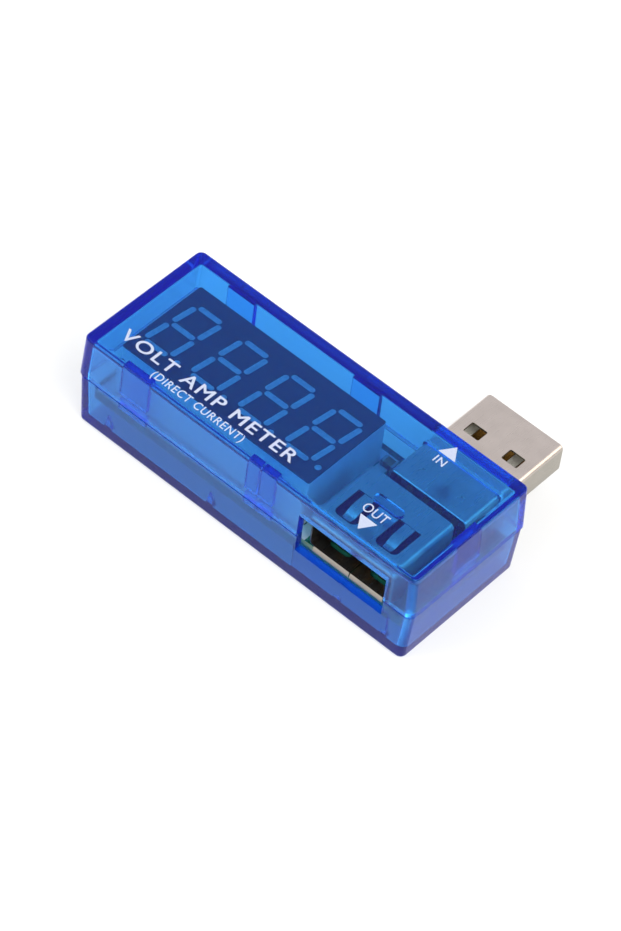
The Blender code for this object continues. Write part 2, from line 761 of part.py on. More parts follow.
def small_parts(chip_black, ceramic, resistor_black):
    for name, size, place, legs, pitch in CHIPS_WITH_LEGS:
        chip(name, in_mm(size), in_mm(place), legs, pitch * MM, chip_black)
    chip_part("voltage_regulator", in_mm(REGULATOR_SIZE), in_mm(REGULATOR_PLACE), chip_black)
    chip_part("shunt_resistor", in_mm(SHUNT_SIZE), in_mm(SHUNT_PLACE), resistor_black)
    for number, (x, y, side) in enumerate(CAPACITOR_PLACES, 1):
        chip_part(f"capacitor_{number}", in_mm(CAPACITOR_SIZE), in_mm((x, y)), ceramic, side)
    for number, place in enumerate(RESISTOR_PLACES, 1):
        chip_part(f"resistor_{number}", in_mm(RESISTOR_SIZE), in_mm(place), resistor_black)


def build():
    blue_plastic = new_material("blue_clear_plastic", (0.02, 0.12, 0.75), 0.12, 0.0, 0.85)
    board_green = new_material("board_laminate", (0.03, 0.22, 0.14), 0.4)
    display_black = new_material("display_plastic", (0.03, 0.03, 0.04), 0.35)
    resin_milky = new_material("milky_resin", (0.5, 0.52, 0.55), 0.4)
    nickel = new_material("nickel_plate", (0.6, 0.56, 0.52), 0.3, 1.0)
    tin = new_material("tinned_wire", (0.7, 0.7, 0.7), 0.35, 1.0)
    gold = new_material("gold_plate", (0.75, 0.5, 0.2), 0.3, 1.0)
    grey_plastic = new_material("grey_insulator", (0.2, 0.2, 0.19), 0.5)
    black_plastic = new_material("black_insulator", (0.015, 0.015, 0.015), 0.5)
    chip_black = new_material("chip_epoxy", (0.02, 0.02, 0.02), 0.6)
    ceramic = new_material("tan_ceramic", (0.35, 0.25, 0.16), 0.6)
    resistor_black = new_material("resistor_glaze", (0.03, 0.03, 0.035), 0.4)

    plug_doorway()
    socket_window()
    top_shell(blue_plastic)
    bottom_shell(blue_plastic)
    circuit_board(board_green)
    display_housing(display_black)
    display_resin(resin_milky)
    display_pins(tin)
    plug_shell(nickel)
    plug_insulator(grey_plastic)
    plug_contacts(gold)
    socket_shell(nickel)
    socket_insulator(black_plastic)
    socket_contacts(gold)
    latch_springs(nickel)
    small_parts(chip_black, ceramic, resistor_black)


clear_scene()
pieces = new_collection(PART_NAME)
tools = new_collection("tools")
tools.hide_render = True
build()
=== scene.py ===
import json
import math

import bpy
from mathutils import Matrix, Vector


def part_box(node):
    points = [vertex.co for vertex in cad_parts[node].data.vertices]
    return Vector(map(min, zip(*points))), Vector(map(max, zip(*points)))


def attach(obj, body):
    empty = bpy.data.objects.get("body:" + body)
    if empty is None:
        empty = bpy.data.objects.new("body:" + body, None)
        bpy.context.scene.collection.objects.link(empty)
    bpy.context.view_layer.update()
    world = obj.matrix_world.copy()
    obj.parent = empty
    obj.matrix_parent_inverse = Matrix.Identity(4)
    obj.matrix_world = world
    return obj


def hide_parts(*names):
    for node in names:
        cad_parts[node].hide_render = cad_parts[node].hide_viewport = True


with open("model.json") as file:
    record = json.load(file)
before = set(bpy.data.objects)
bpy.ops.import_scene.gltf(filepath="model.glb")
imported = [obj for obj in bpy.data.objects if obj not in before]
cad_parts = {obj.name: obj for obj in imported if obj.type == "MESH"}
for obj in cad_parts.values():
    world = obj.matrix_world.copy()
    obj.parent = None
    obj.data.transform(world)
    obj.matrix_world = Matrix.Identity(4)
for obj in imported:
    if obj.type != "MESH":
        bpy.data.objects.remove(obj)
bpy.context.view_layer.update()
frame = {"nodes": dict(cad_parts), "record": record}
mm = 0.001
scene = bpy.context.scene
print("frame loaded:", len(frame["nodes"]), "nodes")


# camera, light and floor

cameraSetup = {
    "place": (200.11 * mm, -280.16 * mm, 401.04 * mm),
    "aim": (2.5 * mm, -0.8 * mm, 7.5 * mm),
    "roll": math.radians(8.4),
    "lens": 168.6,
}

studio = {
    "worldStrength": 0.65,
    "floorColour": "b4b4b3",
    "floorSize": 4,
    "floorGap": 0.02 * mm,
    # painted light: glow beside the object, far from it and under it, where it is dimmed as painted shade,
    # and how far out it fades
    "floorGlow": (0.5, 0.42, 0.28),
    "fadeLength": 60 * mm,
    "shadeLength": 1.5 * mm,
    "footprint": (26.2 * mm, 10.35 * mm, mm),
    "lamps": [
        # name, place, size, watts, colour
        ("keyLamp", (-0.45, -0.35, 0.55), 0.75, 4.2, "ffffff"),
        ("sideLamp", (0.5, -0.1, 0.6), 0.6, 4.6, "ffffff"),
        ("edgeLamp", (0.55, 0.5, 0.5), 0.5, 1.3, "fff2d6"),
    ],
}


def srgb(code):
    parts = [int(code[i:i + 2], 16) / 255 for i in (0, 2, 4)]
    return [c / 12.92 if c <= 0.04045 else ((c + 0.055) / 1.055) ** 2.4 for c in parts]


def makeCamera():
    data = bpy.data.cameras.new("camera")
    data.lens = cameraSetup["lens"]
    data.sensor_width = 36
    data.clip_start = 0.01
    camera = bpy.data.objects.new("camera", data)
    scene.collection.objects.link(camera)
    place, aim = Vector(cameraSetup["place"]), Vector(cameraSetup["aim"])
    turn = (aim - place).to_track_quat("-Z", "Y").to_matrix().to_4x4()
    roll = Matrix.Rotation(cameraSetup["roll"], 4, "Z")
    camera.matrix_world = Matrix.Translation(place) @ turn @ roll
    scene.camera = camera


def makeLamp(name, place, size, watts, colour):
    data = bpy.data.lights.new(name, "AREA")
    data.size = size
    data.energy = watts
    data.color = srgb(colour)
    lamp = bpy.data.objects.new(name, data)
    scene.collection.objects.link(lamp)
    lamp.location = place
    lamp.rotation_euler = (-Vector(place)).to_track_quat("-Z", "Y").to_euler()


def makeStudio():
    world = bpy.data.worlds.new("studio")
    world.use_nodes = True
    background = world.node_tree.nodes["Background"]
    background.inputs["Color"].default_value = (1, 1, 1, 1)
    background.inputs["Strength"].default_value = studio["worldStrength"]
    scene.world = world
    scene.view_settings.view_transform = "Standard"
    for lamp in studio["lamps"]:
        makeLamp(*lamp)
    deselectAll()
    bpy.ops.mesh.primitive_plane_add(size=studio["floorSize"], location=(0, 0, -studio["floorGap"]))
    floor = bpy.context.object
    floor.name = "floor"
    material, tree, shader = newMaterial("mattPaper")
    shader.inputs["Base Color"].default_value = (*srgb(studio["floorColour"]), 1)
    shader.inputs["Roughness"].default_value = 0.9
    shader.inputs["Specular IOR Level"].default_value = 0.0
    shader.inputs["Emission Color"].default_value = (1, 1, 1, 1)
    # the paper glows like a light table, a painted light, brightest beside the case so that no hard shadow
    # lies there and dimmed under it as painted shade
    near, far, under = studio["floorGlow"]
    away = boxDistance(tree, (0, 0, 0), studio["footprint"])
    fade = addNode(tree, "MapRange", {"From Max": studio["fadeLength"], "To Min": near, "To Max": far},
                   Value=away)
    shade = addNode(tree, "MapRange", {"From Min": -studio["shadeLength"], "From Max": 0.0,
                                       "To Min": under / near}, Value=away)
    glow = addNode(tree, "Math", {"operation": "MULTIPLY"})
    tree.links.new(fade.outputs[0], glow.inputs[0])
    tree.links.new(shade.outputs[0], glow.inputs[1])
    tree.links.new(glow.outputs[0], shader.inputs["Emission Strength"])
    floor.data.materials.append(material)


# modelling helpers

def deselectAll():
    bpy.ops.object.select_all(action="DESELECT")


def activate(item):
    deselectAll()
    item.select_set(True)
    bpy.context.view_layer.objects.active = item


def applyPlace(item):
    activate(item)
    bpy.ops.object.transform_apply(location=True, rotation=True, scale=True)


def addBox(name, low, high):
    size = [b - a for a, b in zip(low, high)]
    centre = [(a + b) / 2 for a, b in zip(low, high)]
    deselectAll()
    bpy.ops.mesh.primitive_cube_add(size=1, location=centre, scale=size)
    item = bpy.context.object
    item.name = item.data.name = name
    applyPlace(item)
    return item


def addRod(name, place, radius, depth, sides=24):
    deselectAll()
    bpy.ops.mesh.primitive_cylinder_add(vertices=sides, radius=radius, depth=depth, location=place)
    item = bpy.context.object
    item.name = item.data.name = name
    applyPlace(item)
    return item


def pick(item, kind, test):
    mesh = item.data
    for group in (mesh.vertices, mesh.edges, mesh.polygons):
        group.foreach_set("select", [False] * len(group))
    if kind == "EDGE":
        for edge in mesh.edges:
            a, b = (mesh.vertices[i].co for i in edge.vertices)
            edge.select = test((a + b) / 2, (b - a).normalized())
    else:
        for face in mesh.polygons:
            face.select = test(face.center, face.normal)
    bpy.context.tool_settings.mesh_select_mode = (False, kind == "EDGE", kind == "FACE")


def shape(item, kind, test, operator, **settings):
    activate(item)
    pick(item, kind, test)
    bpy.ops.object.mode_set(mode="EDIT")
    operator(**settings)
    bpy.ops.object.mode_set(mode="OBJECT")


def roundEdges(item, test, width, segments):
    shape(item, "EDGE", test, bpy.ops.mesh.bevel, offset=width, segments=segments, affect="EDGES")


def along(axis):
    return lambda middle, direction: abs(direction[axis]) > 0.9


def levelAt(height, axis=2):
    return lambda middle, direction: abs(middle[axis] - height) < 0.01 * mm and abs(direction[axis]) < 0.1


def facing(axis, sign):
    return lambda middle, normal: normal[axis] * sign > 0.9


def grow(item, test, move, ratio=(1, 1, 1)):
    # extrudes the chosen end, then narrows it about its own middle
    shape(item, "FACE", test, bpy.ops.mesh.extrude_region_move, TRANSFORM_OT_translate={"value": move})
    if ratio != (1, 1, 1):
        chosen = [face.center for face in item.data.polygons if test(face.center, face.normal)]
        middle = sum(chosen, Vector()) / len(chosen)
        shape(item, "FACE", test, bpy.ops.transform.resize, value=ratio, center_override=middle)


def applyModifier(item, kind, **settings):
    activate(item)
    modifier = item.modifiers.new(kind.lower(), kind)
    for key, value in settings.items():
        setattr(modifier, key, value)
    bpy.ops.object.modifier_apply(modifier=modifier.name)


def combine(item, tool, operation="DIFFERENCE"):
    applyModifier(item, "BOOLEAN", operation=operation, object=tool, solver="EXACT")
    bpy.data.objects.remove(tool)


def joinAll(name, items):
    activate(items[0])
    for item in items:
        item.select_set(True)
    bpy.ops.object.join()
    items[0].name = items[0].data.name = name
    return items[0]


def duplicate(item, name):
    copy = item.copy()
    copy.data = item.data.copy()
    copy.name = copy.data.name = name
    scene.collection.objects.link(copy)
    return copy


def smooth(item, angle=30, weighted=True):
    activate(item)
    bpy.ops.object.shade_smooth_by_angle(angle=math.radians(angle))
    if weighted:
        applyModifier(item, "WEIGHTED_NORMAL", keep_sharp=True, weight=80)


def moved(item, place):
    item.location = place
    applyPlace(item)
    return item


def paint(item, material):
    item.data.materials.clear()
    item.data.materials.append(material)
    return item


def finishPiece(item, material=None, body="meter", nodes=(), angle=30):
    if material:
        paint(item, material)
    smooth(item, angle)
    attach(item, body)
    if nodes:
        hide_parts(*nodes)
    return item


# material helpers

def newMaterial(name):
    material = bpy.data.materials.new(name)
    material.use_nodes = True
    tree = material.node_tree
    return material, tree, tree.nodes["Principled BSDF"]


def addNode(tree, kind, settings=None, **links):
    # a setting is an input, by its name or number, or else a property of the node
    node = tree.nodes.new("ShaderNode" + kind)
    for key, value in (settings or {}).items():
        if isinstance(key, int) or key in node.inputs:
            node.inputs[key].default_value = value
        else:
            setattr(node, key, value)
    for key, source in links.items():
        tree.links.new(source, node.inputs[key.replace("_", " ")])
    return node


def boxDistance(tree, middle, half):
    # how far a point lies outside an upright box, less than nothing inside it
    place = addNode(tree, "TexCoord")
    back = [-value for value in middle]
    shifted = addNode(tree, "Mapping", {"Location": back}, Vector=place.outputs["Object"])
    folded = addNode(tree, "VectorMath", {"operation": "ABSOLUTE"}, Vector=shifted.outputs[0])
    outside = addNode(tree, "VectorMath", {"operation": "SUBTRACT"})
    outside.inputs[1].default_value = half
    tree.links.new(folded.outputs[0], outside.inputs[0])
    split = addNode(tree, "SeparateXYZ", Vector=outside.outputs[0])
    larger = addNode(tree, "Math", {"operation": "MAXIMUM"})
    tree.links.new(split.outputs["X"], larger.inputs[0])
    tree.links.new(split.outputs["Y"], larger.inputs[1])
    return larger.outputs[0]


def setShader(shader, code, roughness, metallic=0.0, ior=1.5):
    shader.inputs["Base Color"].default_value = (*srgb(code), 1)
    shader.inputs["Roughness"].default_value = roughness
    shader.inputs["Metallic"].default_value = metallic
    shader.inputs["IOR"].default_value = ior


def linkFinish(tree, shader, colour, shine, bump):
    for node, socket in ((colour, "Base Color"), (shine, "Roughness"), (bump, "Normal")):
        tree.links.new(node.outputs[0], shader.inputs[socket])


def twoTones(dark, light):
    return {"Color1": (*srgb(dark), 1), "Color2": (*srgb(light), 1)}


# case

caseSizes = {
    "partingZ": 7.95 * mm,
    "gap": 0.08 * mm,
    # length and width of the outline at the parting, the roof and the base
    "parting": (53.6 * mm, 21.1 * mm),
    "top": (52.75 * mm, 20.9 * mm),
    "base": (52.45 * mm, 20.75 * mm),
    "lipStep": 0.13 * mm,
    "wall": 1.1 * mm,
    "roof": 1.4 * mm,
    "floor": 1.2 * mm,
    "corner": 0.9 * mm,
    "innerCorner": 0.4 * mm,
    "rim": 0.45 * mm,
    "topRim": 0.3 * mm,
    "innerTopRim": 0.35 * mm,
    "innerRim": 0.25 * mm,
    "lip": 0.12 * mm,
    # depth and height of the step below the lip
    "shadowLine": (0.22 * mm, 0.2 * mm),
    # how far a joined piece reaches into its wall
    "root": 0.3 * mm,
    "padDepth": 0.65 * mm,
    "padCorner": 0.12 * mm,
    "padStart": 0.9 * mm,
    "padFoot": 0.3 * mm,
    "frontPads": ((-20.4 * mm, -16.0 * mm), (-0.1 * mm, 1.75 * mm), (2.0 * mm, 4.3 * mm)),
    "backPads": ((-20.4 * mm, -16.0 * mm), (-0.1 * mm, 4.3 * mm)),
    "endPad": (-2.2 * mm, 2.2 * mm),
    "ribPlaces": (-21.8 * mm, -5.0 * mm, 15.35 * mm, 22.7 * mm),
    "ribTop": 3.5 * mm,
    "ribFoot": (1.3 * mm, 1.4 * mm),
    "ribTip": (0.25 * mm, 0.3 * mm),
    "ribCorner": 0.04 * mm,
    "sill": 5.25 * mm,
    "sillDepth": 0.42 * mm,
    "sillEnd": 0.6 * mm,
    "sillShoulder": 0.2 * mm,
    "windowX": (8.8 * mm, 22.4 * mm),
    "windowY": (-12 * mm, -8.3 * mm),
    "windowTop": 11.65 * mm,
    "doorMargin": 0.12 * mm,
    "doorY": (7.5 * mm, 12 * mm),
    "doorCorner": 0.5 * mm,
    "bossPlace": (16.15 * mm, -3.15 * mm),
    "bossSize": (4.4 * mm, 1.25 * mm, 0.55 * mm),
    "bossCorner": 0.6 * mm,
    # a cutter that has to clear the whole case
    "clear": (30 * mm, 14 * mm),
}

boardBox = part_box("circuit_board")
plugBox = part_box("plug_shell")
plugMiddle = (plugBox[0].x + plugBox[1].x) / 2
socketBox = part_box("socket_shell")
socketMiddle = (socketBox[0].x + socketBox[1].x) / 2
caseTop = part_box("top_shell")[1].z
# both metal shields stand this high, just clear of the board
shieldBase = boardBox[1].z + 0.05 * mm


def draftedBlock(name, lowSize, highSize, lowZ, highZ, corner, segments=6):
    half = [value / 2 for value in lowSize]
    item = addBox(name, (-half[0], -half[1], lowZ), (half[0], half[1], highZ))
    ratio = (highSize[0] / lowSize[0], highSize[1] / lowSize[1], 1)
    shape(item, "FACE", lambda middle, normal: normal.z > 0.9, bpy.ops.transform.resize,
          value=ratio, center_override=(0, 0, highZ))
    roundEdges(item, along(2), corner, segments)
    return item


def inset(size, margin):
    return size[0] - 2 * margin, size[1] - 2 * margin


def wallPads(lowZ, highZ, halfSize):
    sizes = caseSizes
    depth, root = sizes["padDepth"], sizes["root"]
    innerX, innerY = halfSize[0] - sizes["wall"], halfSize[1] - sizes["wall"]
    spans = [(left, right, -innerY - root, -innerY + depth) for left, right in sizes["frontPads"]]
    spans += [(left, right, innerY - depth, innerY + root) for left, right in sizes["backPads"]]
    spans.append((innerX - depth, innerX + root, *sizes["endPad"]))
    pads = []
    for left, right, front, back in spans:
        pad = addBox("pad", (left, front, lowZ), (right, back, highZ))
        roundEdges(pad, along(2), sizes["padCorner"], 2)
        pads.append(pad)
    return pads


def plugDoorway():
    sizes = caseSizes
    margin = sizes["doorMargin"]
    front, back = sizes["doorY"]
    low = (plugBox[0].x - margin, front, shieldBase - margin)
    high = (plugBox[1].x + margin, back, plugBox[1].z + margin)
    item = addBox("doorway", low, high)
    roundEdges(item, along(1), sizes["doorCorner"], 4)
    return item


def socketWindow():
    sizes = caseSizes
    left, right = sizes["windowX"]
    front, back = sizes["windowY"]
    return addBox("window", (left, front, sizes["sill"]), (right, back, sizes["windowTop"]))


def makeTopShell(material):
    sizes = caseSizes
    baseZ = sizes["partingZ"] + sizes["gap"] / 2
    roofZ = caseTop - sizes["roof"]
    shell = draftedBlock("topShell", sizes["parting"], sizes["top"], baseZ, caseTop, sizes["corner"])
    roundEdges(shell, levelAt(caseTop), sizes["topRim"], 4)
    roundEdges(shell, levelAt(baseZ), sizes["lip"], 2)
    innerLow, innerHigh = inset(sizes["parting"], sizes["wall"]), inset(sizes["top"], sizes["wall"])
    hollow = draftedBlock("hollow", innerLow, innerHigh, baseZ - mm, roofZ, sizes["innerCorner"])
    roundEdges(hollow, levelAt(roofZ), sizes["innerTopRim"], 4)
    combine(shell, hollow)
    halfSize = [(a + b) / 4 for a, b in zip(sizes["parting"], sizes["top"])]
    for pad in wallPads(baseZ + sizes["padStart"], roofZ + sizes["root"], halfSize):
        combine(shell, pad, "UNION")
    # a small boss hangs from the roof over the socket
    x, y = sizes["bossPlace"]
    width, depth, tall = sizes["bossSize"]
    boss = addBox("boss", (x - width / 2, y - depth / 2, roofZ - tall),
                  (x + width / 2, y + depth / 2, roofZ + sizes["root"]))
    roundEdges(boss, along(2), sizes["bossCorner"], 6)
    combine(shell, boss, "UNION")
    combine(shell, plugDoorway())
    combine(shell, socketWindow())
    return finishPiece(shell, material, nodes=["top_shell"], angle=25)


def makeBottomShell(material):
    sizes = caseSizes
    root = sizes["root"]
    rimZ = sizes["partingZ"] - sizes["gap"] / 2
    upper = inset(sizes["parting"], sizes["lipStep"])
    shell = draftedBlock("bottomShell", sizes["base"], upper, 0, rimZ, sizes["corner"])
    roundEdges(shell, levelAt(0), sizes["rim"], 4)
    # a fine step under the upper shell's lip makes the shadow line
    depth, tall = sizes["shadowLine"]
    clearX, clearY = sizes["clear"]
    step = addBox("step", (-clearX, -clearY, rimZ - tall), (clearX, clearY, rimZ + mm))
    inner = inset(upper, depth)
    combine(step, draftedBlock("inner", inner, inner, rimZ - mm, rimZ + 2 * mm, sizes["corner"] - depth))
    combine(shell, step)
    innerLow, innerHigh = inset(sizes["base"], sizes["wall"]), inset(sizes["parting"], sizes["wall"])
    hollow = draftedBlock("hollow", innerLow, innerHigh, sizes["floor"], rimZ + mm, sizes["innerCorner"])
    roundEdges(hollow, levelAt(sizes["floor"]), sizes["innerRim"], 3)
    combine(shell, hollow)
    halfSize = [value / 2 for value in sizes["parting"]]
    for pad in wallPads(boardBox[1].z + sizes["padFoot"], rimZ, halfSize):
        combine(shell, pad, "UNION")
    innerY = sizes["base"][1] / 2 - sizes["wall"]
    for side in (-1, 1):
        for x in sizes["ribPlaces"]:
            rib = draftedBlock("rib", sizes["ribFoot"], sizes["ribTip"], sizes["floor"] - root,
                               sizes["ribTop"], sizes["ribCorner"], 2)
            combine(shell, moved(rib, (x, side * innerY, 0)), "UNION")
    # the sill stands on a low wall that closes the gap to the board
    left, right = sizes["windowX"]
    sillTop = sizes["sill"] + sizes["sillShoulder"]
    sill = addBox("sill", (left - sizes["sillEnd"], -innerY - root, sizes["floor"] - root),
                  (right + sizes["sillEnd"], -innerY + sizes["sillDepth"], sillTop))
    combine(shell, sill, "UNION")
    combine(shell, plugDoorway())
    combine(shell, socketWindow())
    return finishPiece(shell, material, nodes=["bottom_shell"], angle=25)


# display

displaySizes = {
    "face": 0.12 * mm,
    "pitch": 7.57 * mm,
    "firstDigit": -0.15 * mm,
    "slant": math.radians(6.5),
    "column": 2.06 * mm,
    "row": 4.3 * mm,
    "barWidth": 0.82 * mm,
    "barLength": 3.6 * mm,
    "pointRadius": 0.45 * mm,
    "pointOffset": 2.9 * mm,
    "corner": 0.25 * mm,
    "faceRim": 0.04 * mm,
    "footRim": 0.1 * mm,
    # the segments lie a little below the face and clear of their slots
    "sink": 0.03 * mm,
    "slotGap": 0.02 * mm,
    "faceGap": 0.01 * mm,
    "tray": 0.6 * mm,
    "trayDraft": (0.99, 0.98, 1),
}

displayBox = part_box("display_housing")
displayMiddle = (displayBox[0] + displayBox[1]) / 2


def barPlaces(digitX):
    lean = math.tan(displaySizes["slant"])
    row, column = displaySizes["row"], displaySizes["column"]
    level = [(digitX + y * lean, y, math.pi / 2) for y in (-row, 0, row)]
    upright = [(digitX + side * column + y * lean, y, -displaySizes["slant"])
               for y in (-row / 2, row / 2) for side in (-1, 1)]
    return level + upright


def segmentBars(name, lowZ, highZ, margin):
    sizes = displaySizes
    half = (sizes["barWidth"] / 2 + margin, sizes["barLength"] / 2 + margin)
    bar = addBox("bar", (-half[0], -half[1], lowZ), (half[0], half[1], highZ))
    # nearly half the width, so that the ends come out round
    roundEdges(bar, along(2), half[0] * 0.96, 6)
    point = addRod("point", (0, 0, (lowZ + highZ) / 2), sizes["pointRadius"] + margin, highZ - lowZ)
    copies = []
    for digit in range(4):
        digitX = (digit - 1.5) * sizes["pitch"] + sizes["firstDigit"]
        for x, y, turn in barPlaces(digitX):
            copy = duplicate(bar, "barCopy")
            copy.location = (displayMiddle.x + x, displayMiddle.y + y, 0)
            copy.rotation_euler = (0, 0, turn)
            copies.append(copy)
        copy = duplicate(point, "pointCopy")
        copy.location = (displayMiddle.x + digitX + sizes["pointOffset"], displayMiddle.y - sizes["row"], 0)
        copies.append(copy)
    bpy.data.objects.remove(bar)
    bpy.data.objects.remove(point)
    for copy in copies:
        applyPlace(copy)
    return joinAll(name, copies)


def makeDisplay(bodyMaterial, faceMaterial, segmentMaterial):
    sizes = displaySizes
    low, high = displayBox
    faceZ = high.z - sizes["face"]
    body = addBox("displayBody", low, (high.x, high.y, faceZ - sizes["faceGap"]))
    roundEdges(body, along(2), sizes["corner"], 3)
    # the underside is a shallow tray, where the resin was poured in
    shape(body, "FACE", facing(2, -1), bpy.ops.mesh.inset, thickness=sizes["tray"])
    trayFace = lambda middle, normal: normal.z < -0.9 and (middle - displayMiddle).to_2d().length < mm
    grow(body, trayFace, (0, 0, sizes["tray"]), sizes["trayDraft"])
    roundEdges(body, levelAt(low.z), sizes["footRim"], 2)
    finishPiece(body, bodyMaterial, nodes=["display_housing"])
    face = addBox("displayFace", (low.x, low.y, faceZ), high)
    roundEdges(face, along(2), sizes["corner"], 3)
    roundEdges(face, levelAt(high.z), sizes["faceRim"], 2)
    combine(face, segmentBars("slots", faceZ - mm, high.z + mm, 0.0))
    finishPiece(face, faceMaterial)
    bars = segmentBars("displaySegments", faceZ, high.z - sizes["sink"], -sizes["slotGap"])
    finishPiece(bars, segmentMaterial, nodes=["display_resin"])


# plug and socket

shieldSizes = {
    "sheet": 0.3 * mm,
    "outerCorner": 0.7 * mm,
    "innerCorner": 0.4 * mm,
    "rim": 0.25 * mm,
    "seam": 0.07 * mm,
    "legWidth": 1.8 * mm,
    "legTop": 7.5 * mm,
    "legTaper": 0.62,
    "openingHalf": 4.6 * mm,
}

plugSizes = {
    "windowX": 3.0 * mm,
    "windowFromTip": 6.05 * mm,
    "window": (2.4 * mm, 1.9 * mm),
    "windowCorner": 0.22 * mm,
    "openingEnd": 5.2 * mm,
    "legY": 5.9 * mm,
    "dimples": ((-3.0 * mm, 5.6 * mm), (3.0 * mm, 5.6 * mm)),
    "dimpleRadius": 0.55 * mm,
    "dimpleDepth": 0.24 * mm,
}

socketSizes = {
    "latchX": 3.15 * mm,
    "latchWidth": 3.4 * mm,
    "latchY": (-7.55 * mm, -2.75 * mm),
    "latchCorner": 0.8 * mm,
    "openingY": (-0.3 * mm, 0.9 * mm),
    "seamEnd": -1.0 * mm,
    "legY": -3.2 * mm,
    "lipX": (-5.7 * mm, 5.2 * mm),
    "lipFront": 0.3 * mm,
    "lipDrop": 0.36 * mm,
    "lipSlope": 0.2 * mm,
    "lipGap": 0.03 * mm,
    # how far the lip's flat part reaches before the mouth and into it
    "lipRoot": (0.1 * mm, 0.4 * mm),
    "cutAbove": 0.1 * mm,
}


def shieldTube(name, low, high, frontY, backY):
    # rolled sheet: a rounded tube, open at both ends until a back wall is added
    sizes = shieldSizes
    tube = addBox(name, low, high)
    roundEdges(tube, along(1), sizes["outerCorner"], 6)
    for y in (frontY, backY):
        roundEdges(tube, levelAt(y, 1), sizes["rim"], 3)
    sheet = Vector((sizes["sheet"], 0, sizes["sheet"]))
    core = addBox("core", low + sheet - Vector((0, mm, 0)), high - sheet + Vector((0, mm, 0)))
    roundEdges(core, along(1), sizes["innerCorner"], 5)
    combine(tube, core)
    return tube


def addLegs(shell, low, high, y):
    sizes = shieldSizes
    half = sizes["legWidth"] / 2
    for left in (low.x, high.x - sizes["sheet"]):
        leg = addBox("leg", (left, y - half, low.z), (left + sizes["sheet"], y + half, sizes["legTop"]))
        # the tip tapers so that it finds its slot in the board
        grow(leg, facing(2, -1), (0, 0, -0.01 * mm))
        shape(leg, "FACE", facing(2, -1), bpy.ops.transform.resize, value=(1, sizes["legTaper"], 1),
              center_override=(left, y, low.z))
        combine(shell, leg, "UNION")


def cutThrough(shell, left, right, front, back, lowZ, highZ):
    combine(shell, addBox("cutter", (left, front, lowZ), (right, back, highZ)))


def makePlugShell(material):
    sizes, low, high = plugSizes, plugBox[0].copy(), plugBox[1]
    bodyLow = Vector((low.x, low.y, shieldBase))
    shell = shieldTube("plugShell", bodyLow, high, high.y, low.y)
    floorTop = shieldBase + 2 * shieldSizes["sheet"]
    middleY = high.y - sizes["windowFromTip"]
    halfX, halfY = (value / 2 for value in sizes["window"])
    for side in (-1, 1):
        x = plugMiddle + side * sizes["windowX"]
        window = addBox("window", (x - halfX, middleY - halfY, shieldBase - mm),
                        (x + halfX, middleY + halfY, high.z + mm))
        roundEdges(window, along(2), sizes["windowCorner"], 4)
        combine(shell, window)
    half, seam = shieldSizes["openingHalf"], shieldSizes["seam"]
    cutThrough(shell, plugMiddle - half, plugMiddle + half, low.y - mm, sizes["openingEnd"],
               shieldBase - mm, floorTop)
    cutThrough(shell, plugMiddle - seam, plugMiddle + seam, low.y, high.y + mm, shieldBase - mm, floorTop)
    for x, y in sizes["dimples"]:
        # crimped dimples that hold the insulator
        place = (plugMiddle + x, y, high.z)
        combine(shell, addRod("dimple", place, sizes["dimpleRadius"], sizes["dimpleDepth"], 20))
    addLegs(shell, low, high, sizes["legY"])
    finishPiece(shell, material, nodes=["plug_shell"], angle=35)


def makeSocketShell(material):
    sizes, high = socketSizes, socketBox[1]
    low = Vector((socketBox[0].x, socketBox[0].y, shieldBase))
    sheet = shieldSizes["sheet"]
    shell = shieldTube("socketShell", low, high, low.y, high.y)
    wall = addBox("backWall", (low.x, high.y - sheet, low.z), high)
    roundEdges(wall, along(1), shieldSizes["outerCorner"], 6)
    combine(shell, wall, "UNION")
    front, back = sizes["latchY"]
    half = sizes["latchWidth"] / 2
    frontCorner = lambda middle, direction: abs(direction.z) > 0.9 and middle.y < front + mm
    for side in (-1, 1):
        x = socketMiddle + side * sizes["latchX"]
        slot = addBox("slot", (x - half, front, low.z - mm), (x + half, back, high.z + mm))
        roundEdges(slot, frontCorner, sizes["latchCorner"], 6)
        combine(shell, slot)
    floorTop = low.z + sheet + sizes["cutAbove"]
    half, seam = shieldSizes["openingHalf"], shieldSizes["seam"]
    cutThrough(shell, socketMiddle - half, socketMiddle + half, *sizes["openingY"], low.z - mm, floorTop)
    # the mouth's lower edge turns out and down, over the edge of the board
    left, right = (socketMiddle + x for x in sizes["lipX"])
    inFront, behind = sizes["lipRoot"]
    lip = addBox("lip", (left, low.y - inFront, low.z), (right, low.y + behind, low.z + sheet))
    combine(shell, lip, "UNION")
    turned = addBox("turnedLip", (left, low.y - sizes["lipFront"], low.z - sizes["lipDrop"]),
                    (right, low.y - sizes["lipGap"], low.z + sheet))
    frontTop = lambda middle, direction: (abs(direction.x) > 0.9 and middle.y < low.y - inFront
                                          and middle.z > low.z)
    shape(turned, "EDGE", frontTop, bpy.ops.transform.translate, value=(0, sizes["lipSlope"], 0))
    combine(shell, turned, "UNION")
    cutThrough(shell, socketMiddle - seam, socketMiddle + seam, low.y - mm, sizes["seamEnd"],
               low.z - mm, floorTop)
    addLegs(shell, *socketBox, sizes["legY"])
    finishPiece(shell, material, nodes=["socket_shell"], angle=35)


latchSizes = {
    "width": 1.55 * mm,
    "thick": 0.2 * mm,
    "root": 0.25 * mm,
    "tipRadius": 0.25 * mm,
    "tipLength": 0.9 * mm,
    # step along the finger in mm, step into the mouth in mm, narrowing
    "bends": (
        (1.5, 0.03, 1.0),
        (0.9, 0.12, 0.97),
        (0.7, 0.26, 0.95),
        (0.45, 0.14, 0.95),
        (0.5, -0.16, 0.9),
    ),
}


